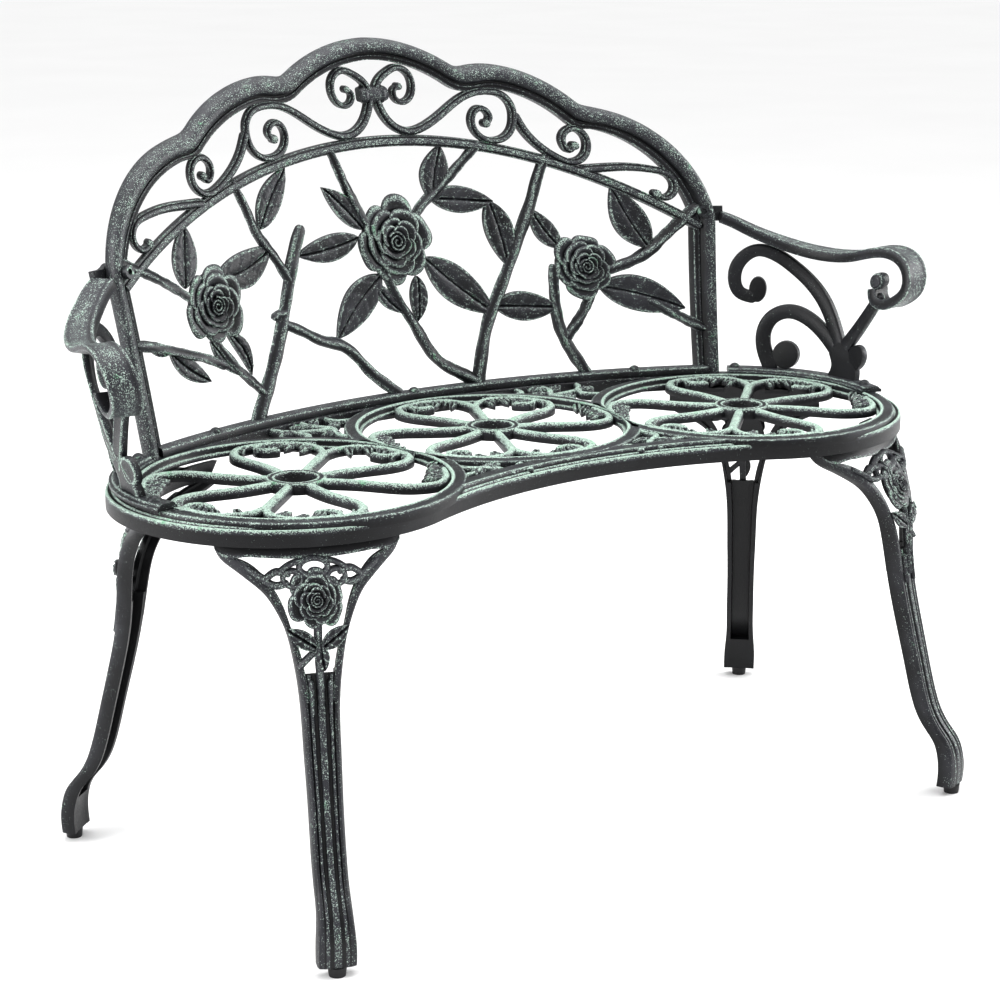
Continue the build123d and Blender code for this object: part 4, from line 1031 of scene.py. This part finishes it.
# Noise scales are per metre, except the dashes', which are per millimetre across and along a bar.
BROAD, PATCH, FINE, DASHES = 16.0, 55.0, 760.0, (1.15, .2, 1.0)
WEAR_SHARE, DASH_SHARE, FINE_SHARE, PATCH_SHARE = 0.95, 1.3, 2.3, 0.7


def cast_metal(name, gain=1.0):
    """Near-black paint dry-brushed with verdigris on the raised edges and in fine dashes along the bars."""
    n = Nodes(name)
    broad = n.noise(n.where, BROAD, 3.0)
    patch = n.noise(n.where, PATCH, 4.0, 0.6)
    fine = n.noise(n.where, FINE, 2.0, 0.7)
    wear = n.new("ShaderNodeAttribute", attribute_name="wear").outputs["Fac"]
    grain = n.new("ShaderNodeAttribute", attribute_name="grain").outputs["Vector"]
    dashes = n.noise(grain, 1.0, 3.0, 0.6, stretch=DASHES)
    level = n.math("MULTIPLY", wear, WEAR_SHARE * gain)
    for pattern, share in ((dashes, DASH_SHARE), (fine, FINE_SHARE), (patch, PATCH_SHARE)):
        level = n.math("ADD", level, n.math("MULTIPLY", n.math("SUBTRACT", pattern), share))
    mask = n.ramp(level, 0.66, 0.90)
    rubbed = n.math("ADD", n.math("MULTIPLY", wear, 1.3), n.math("MULTIPLY", n.math("SUBTRACT", broad), 0.9))
    dark = n.mix(n.ramp(rubbed, 0.12, 0.75), DARK, GREY)
    light = n.mix(n.ramp(fine, 0.4, 0.62), MINT, PALE_MINT)
    light = n.mix(n.ramp(patch, 0.60, 0.74), light, GREEN)
    n.link(n.mix(mask, dark, light), n.shader.inputs["Base Color"])
    rough = n.math("ADD", n.ramp(fine, 0.3, 0.7, 0.30, 0.46), n.math("MULTIPLY", mask, 0.30))
    n.link(rough, n.shader.inputs["Roughness"])
    set_inputs(n.shader, Specular_IOR_Level=0.42)
    bump = n.new("ShaderNodeBump")
    set_inputs(bump, Strength=0.5, Distance=0.0005)
    height = n.math("ADD", fine, n.math("MULTIPLY", mask, 0.5))
    n.link(height, bump.inputs["Height"])
    n.link(bump.outputs["Normal"], n.shader.inputs["Normal"])
    return n.material


def black_plastic():
    n = Nodes("black_plastic")
    fine = n.noise(n.where, 900.0, 4.0)
    n.link(n.mix(n.ramp(fine, .3, .7), (.008, .008, .009), (.02, .02, .022)),
           n.shader.inputs["Base Color"])
    n.link(n.ramp(fine, 0.3, 0.7, 0.42, 0.6), n.shader.inputs["Roughness"])
    return n.material


def dark_steel():
    n = Nodes("dark_steel")
    fine = n.noise(n.where, 700.0, 3.0)
    patch = n.noise(n.where, 90.0, 3.0)
    base = n.mix(n.ramp(fine, .35, .65), (.014, .015, .017), (.06, .065, .07))
    n.link(n.mix(n.ramp(patch, 0.58, 0.7), base, MINT), n.shader.inputs["Base Color"])
    n.link(n.ramp(fine, 0.3, 0.7, 0.3, 0.5), n.shader.inputs["Roughness"])
    set_inputs(n.shader, Metallic=0.35)
    return n.material


def paint_node(name, material):
    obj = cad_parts[name]
    obj.data.materials.clear()
    obj.data.materials.append(material)


# ---------------- floor, light and camera
FLOOR_HALF = 40.0
HORIZON, ZENITH, ZENITH_AT = 0.16, 1.30, 0.75
# Name, place, target, size and power of each lamp.
LAMPS = [
    ("overhead", (.2, .3, 3.0), (0, 0, .4), (2.6, 2.0), 45), ("left_side", (-3.0, .6, 1.6), (0, 0, .5),
    (1.4, 2.2), 70), ("right_side", (2.9, -.9, 1.5), (.2, 0, .5), (1.4, 2.2), 80)]
GAMMA = 0.84
CAMERA_PLACE = (-1.44102, -2.06902, 1.01957)
CAMERA_DIP_DEG, CAMERA_TURN = 15.14, -0.603403
SENSOR_MM, LENS_MM = 36.0, 85.77


def build_floor():
    mesh = bpy.data.meshes.new("floor")
    corners = [(x * FLOOR_HALF, y * FLOOR_HALF, 0) for x, y in ((-1, -1), (1, -1), (1, 1), (-1, 1))]
    mesh.from_pydata(corners, [], [(0, 1, 2, 3)])
    n = Nodes("pale_floor")
    pale = n.mix(n.noise(n.where, 1.5, 2.0), (.86, .86, .86), (.9, .9, .9))
    n.link(pale, n.shader.inputs["Base Color"])
    set_inputs(n.shader, Roughness=0.9, Specular_IOR_Level=0.1)
    mesh.materials.append(n.material)
    floor = place_in_scene("floor", mesh)


def area_light(name, place, target, size, power):
    data = bpy.data.lights.new(name, "AREA")
    data.shape = "RECTANGLE"
    data.size, data.size_y = size
    data.energy = power
    lamp = place_in_scene(name, data)
    lamp.location = place
    lamp.rotation_mode = "QUATERNION"
    lamp.rotation_quaternion = (Vector(target) - Vector(place)).to_track_quat("-Z", "Y")


def build_studio():
    """Sky that is dim at the horizon and bright overhead, with three soft lamps."""
    world = bpy.data.worlds.new("studio")
    world.use_nodes = True
    tree = world.node_tree
    split = tree.nodes.new("ShaderNodeSeparateXYZ")
    tree.links.new(tree.nodes.new("ShaderNodeTexCoord").outputs["Generated"], split.inputs[0])
    sky = tree.nodes.new("ShaderNodeMapRange")
    set_inputs(sky, From_Min=0.0, From_Max=ZENITH_AT, To_Min=HORIZON, To_Max=ZENITH)
    tree.links.new(split.outputs["Z"], sky.inputs["Value"])
    background = tree.nodes["Background"]
    tree.links.new(sky.outputs["Result"], background.inputs["Strength"])
    set_inputs(background, Color=(1.0, 1.0, 1.0, 1))
    bpy.context.scene.world = world
    for lamp in LAMPS:
        area_light(*lamp)
    view = bpy.context.scene.view_settings
    view.view_transform = "Standard"
    view.gamma = GAMMA


def build_camera():
    data = bpy.data.cameras.new("photo_view")
    data.sensor_width = SENSOR_MM
    data.lens = LENS_MM
    data.clip_end = 100.0
    camera = place_in_scene("photo_view", data)
    camera.location = CAMERA_PLACE
    camera.rotation_euler = (math.radians(90 - CAMERA_DIP_DEG), 0.0, CAMERA_TURN)
    bpy.context.scene.camera = camera


# ---------------- the bench
metal = cast_metal("cast_metal_verdigris")
leg_metal = cast_metal("cast_metal_legs", 0.95)
seat_metal = cast_metal("cast_metal_seat", 1.18)
build_backrest(metal)
build_seat(seat_metal)
for side, end in ((1, "right"), (-1, "left")):
    build_arm(metal, side, "arm_" + end)
    build_leg(leg_metal, True, side, "leg_front_" + end)
    build_leg(leg_metal, False, side, "leg_rear_" + end)
steel = dark_steel()
plastic = black_plastic()
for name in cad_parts:
    if "bolt" in name or "nut" in name or "stud" in name:
        paint_node(name, steel)
    elif name.startswith("glide"):
        paint_node(name, plastic)

build_floor()
build_studio()
build_camera()
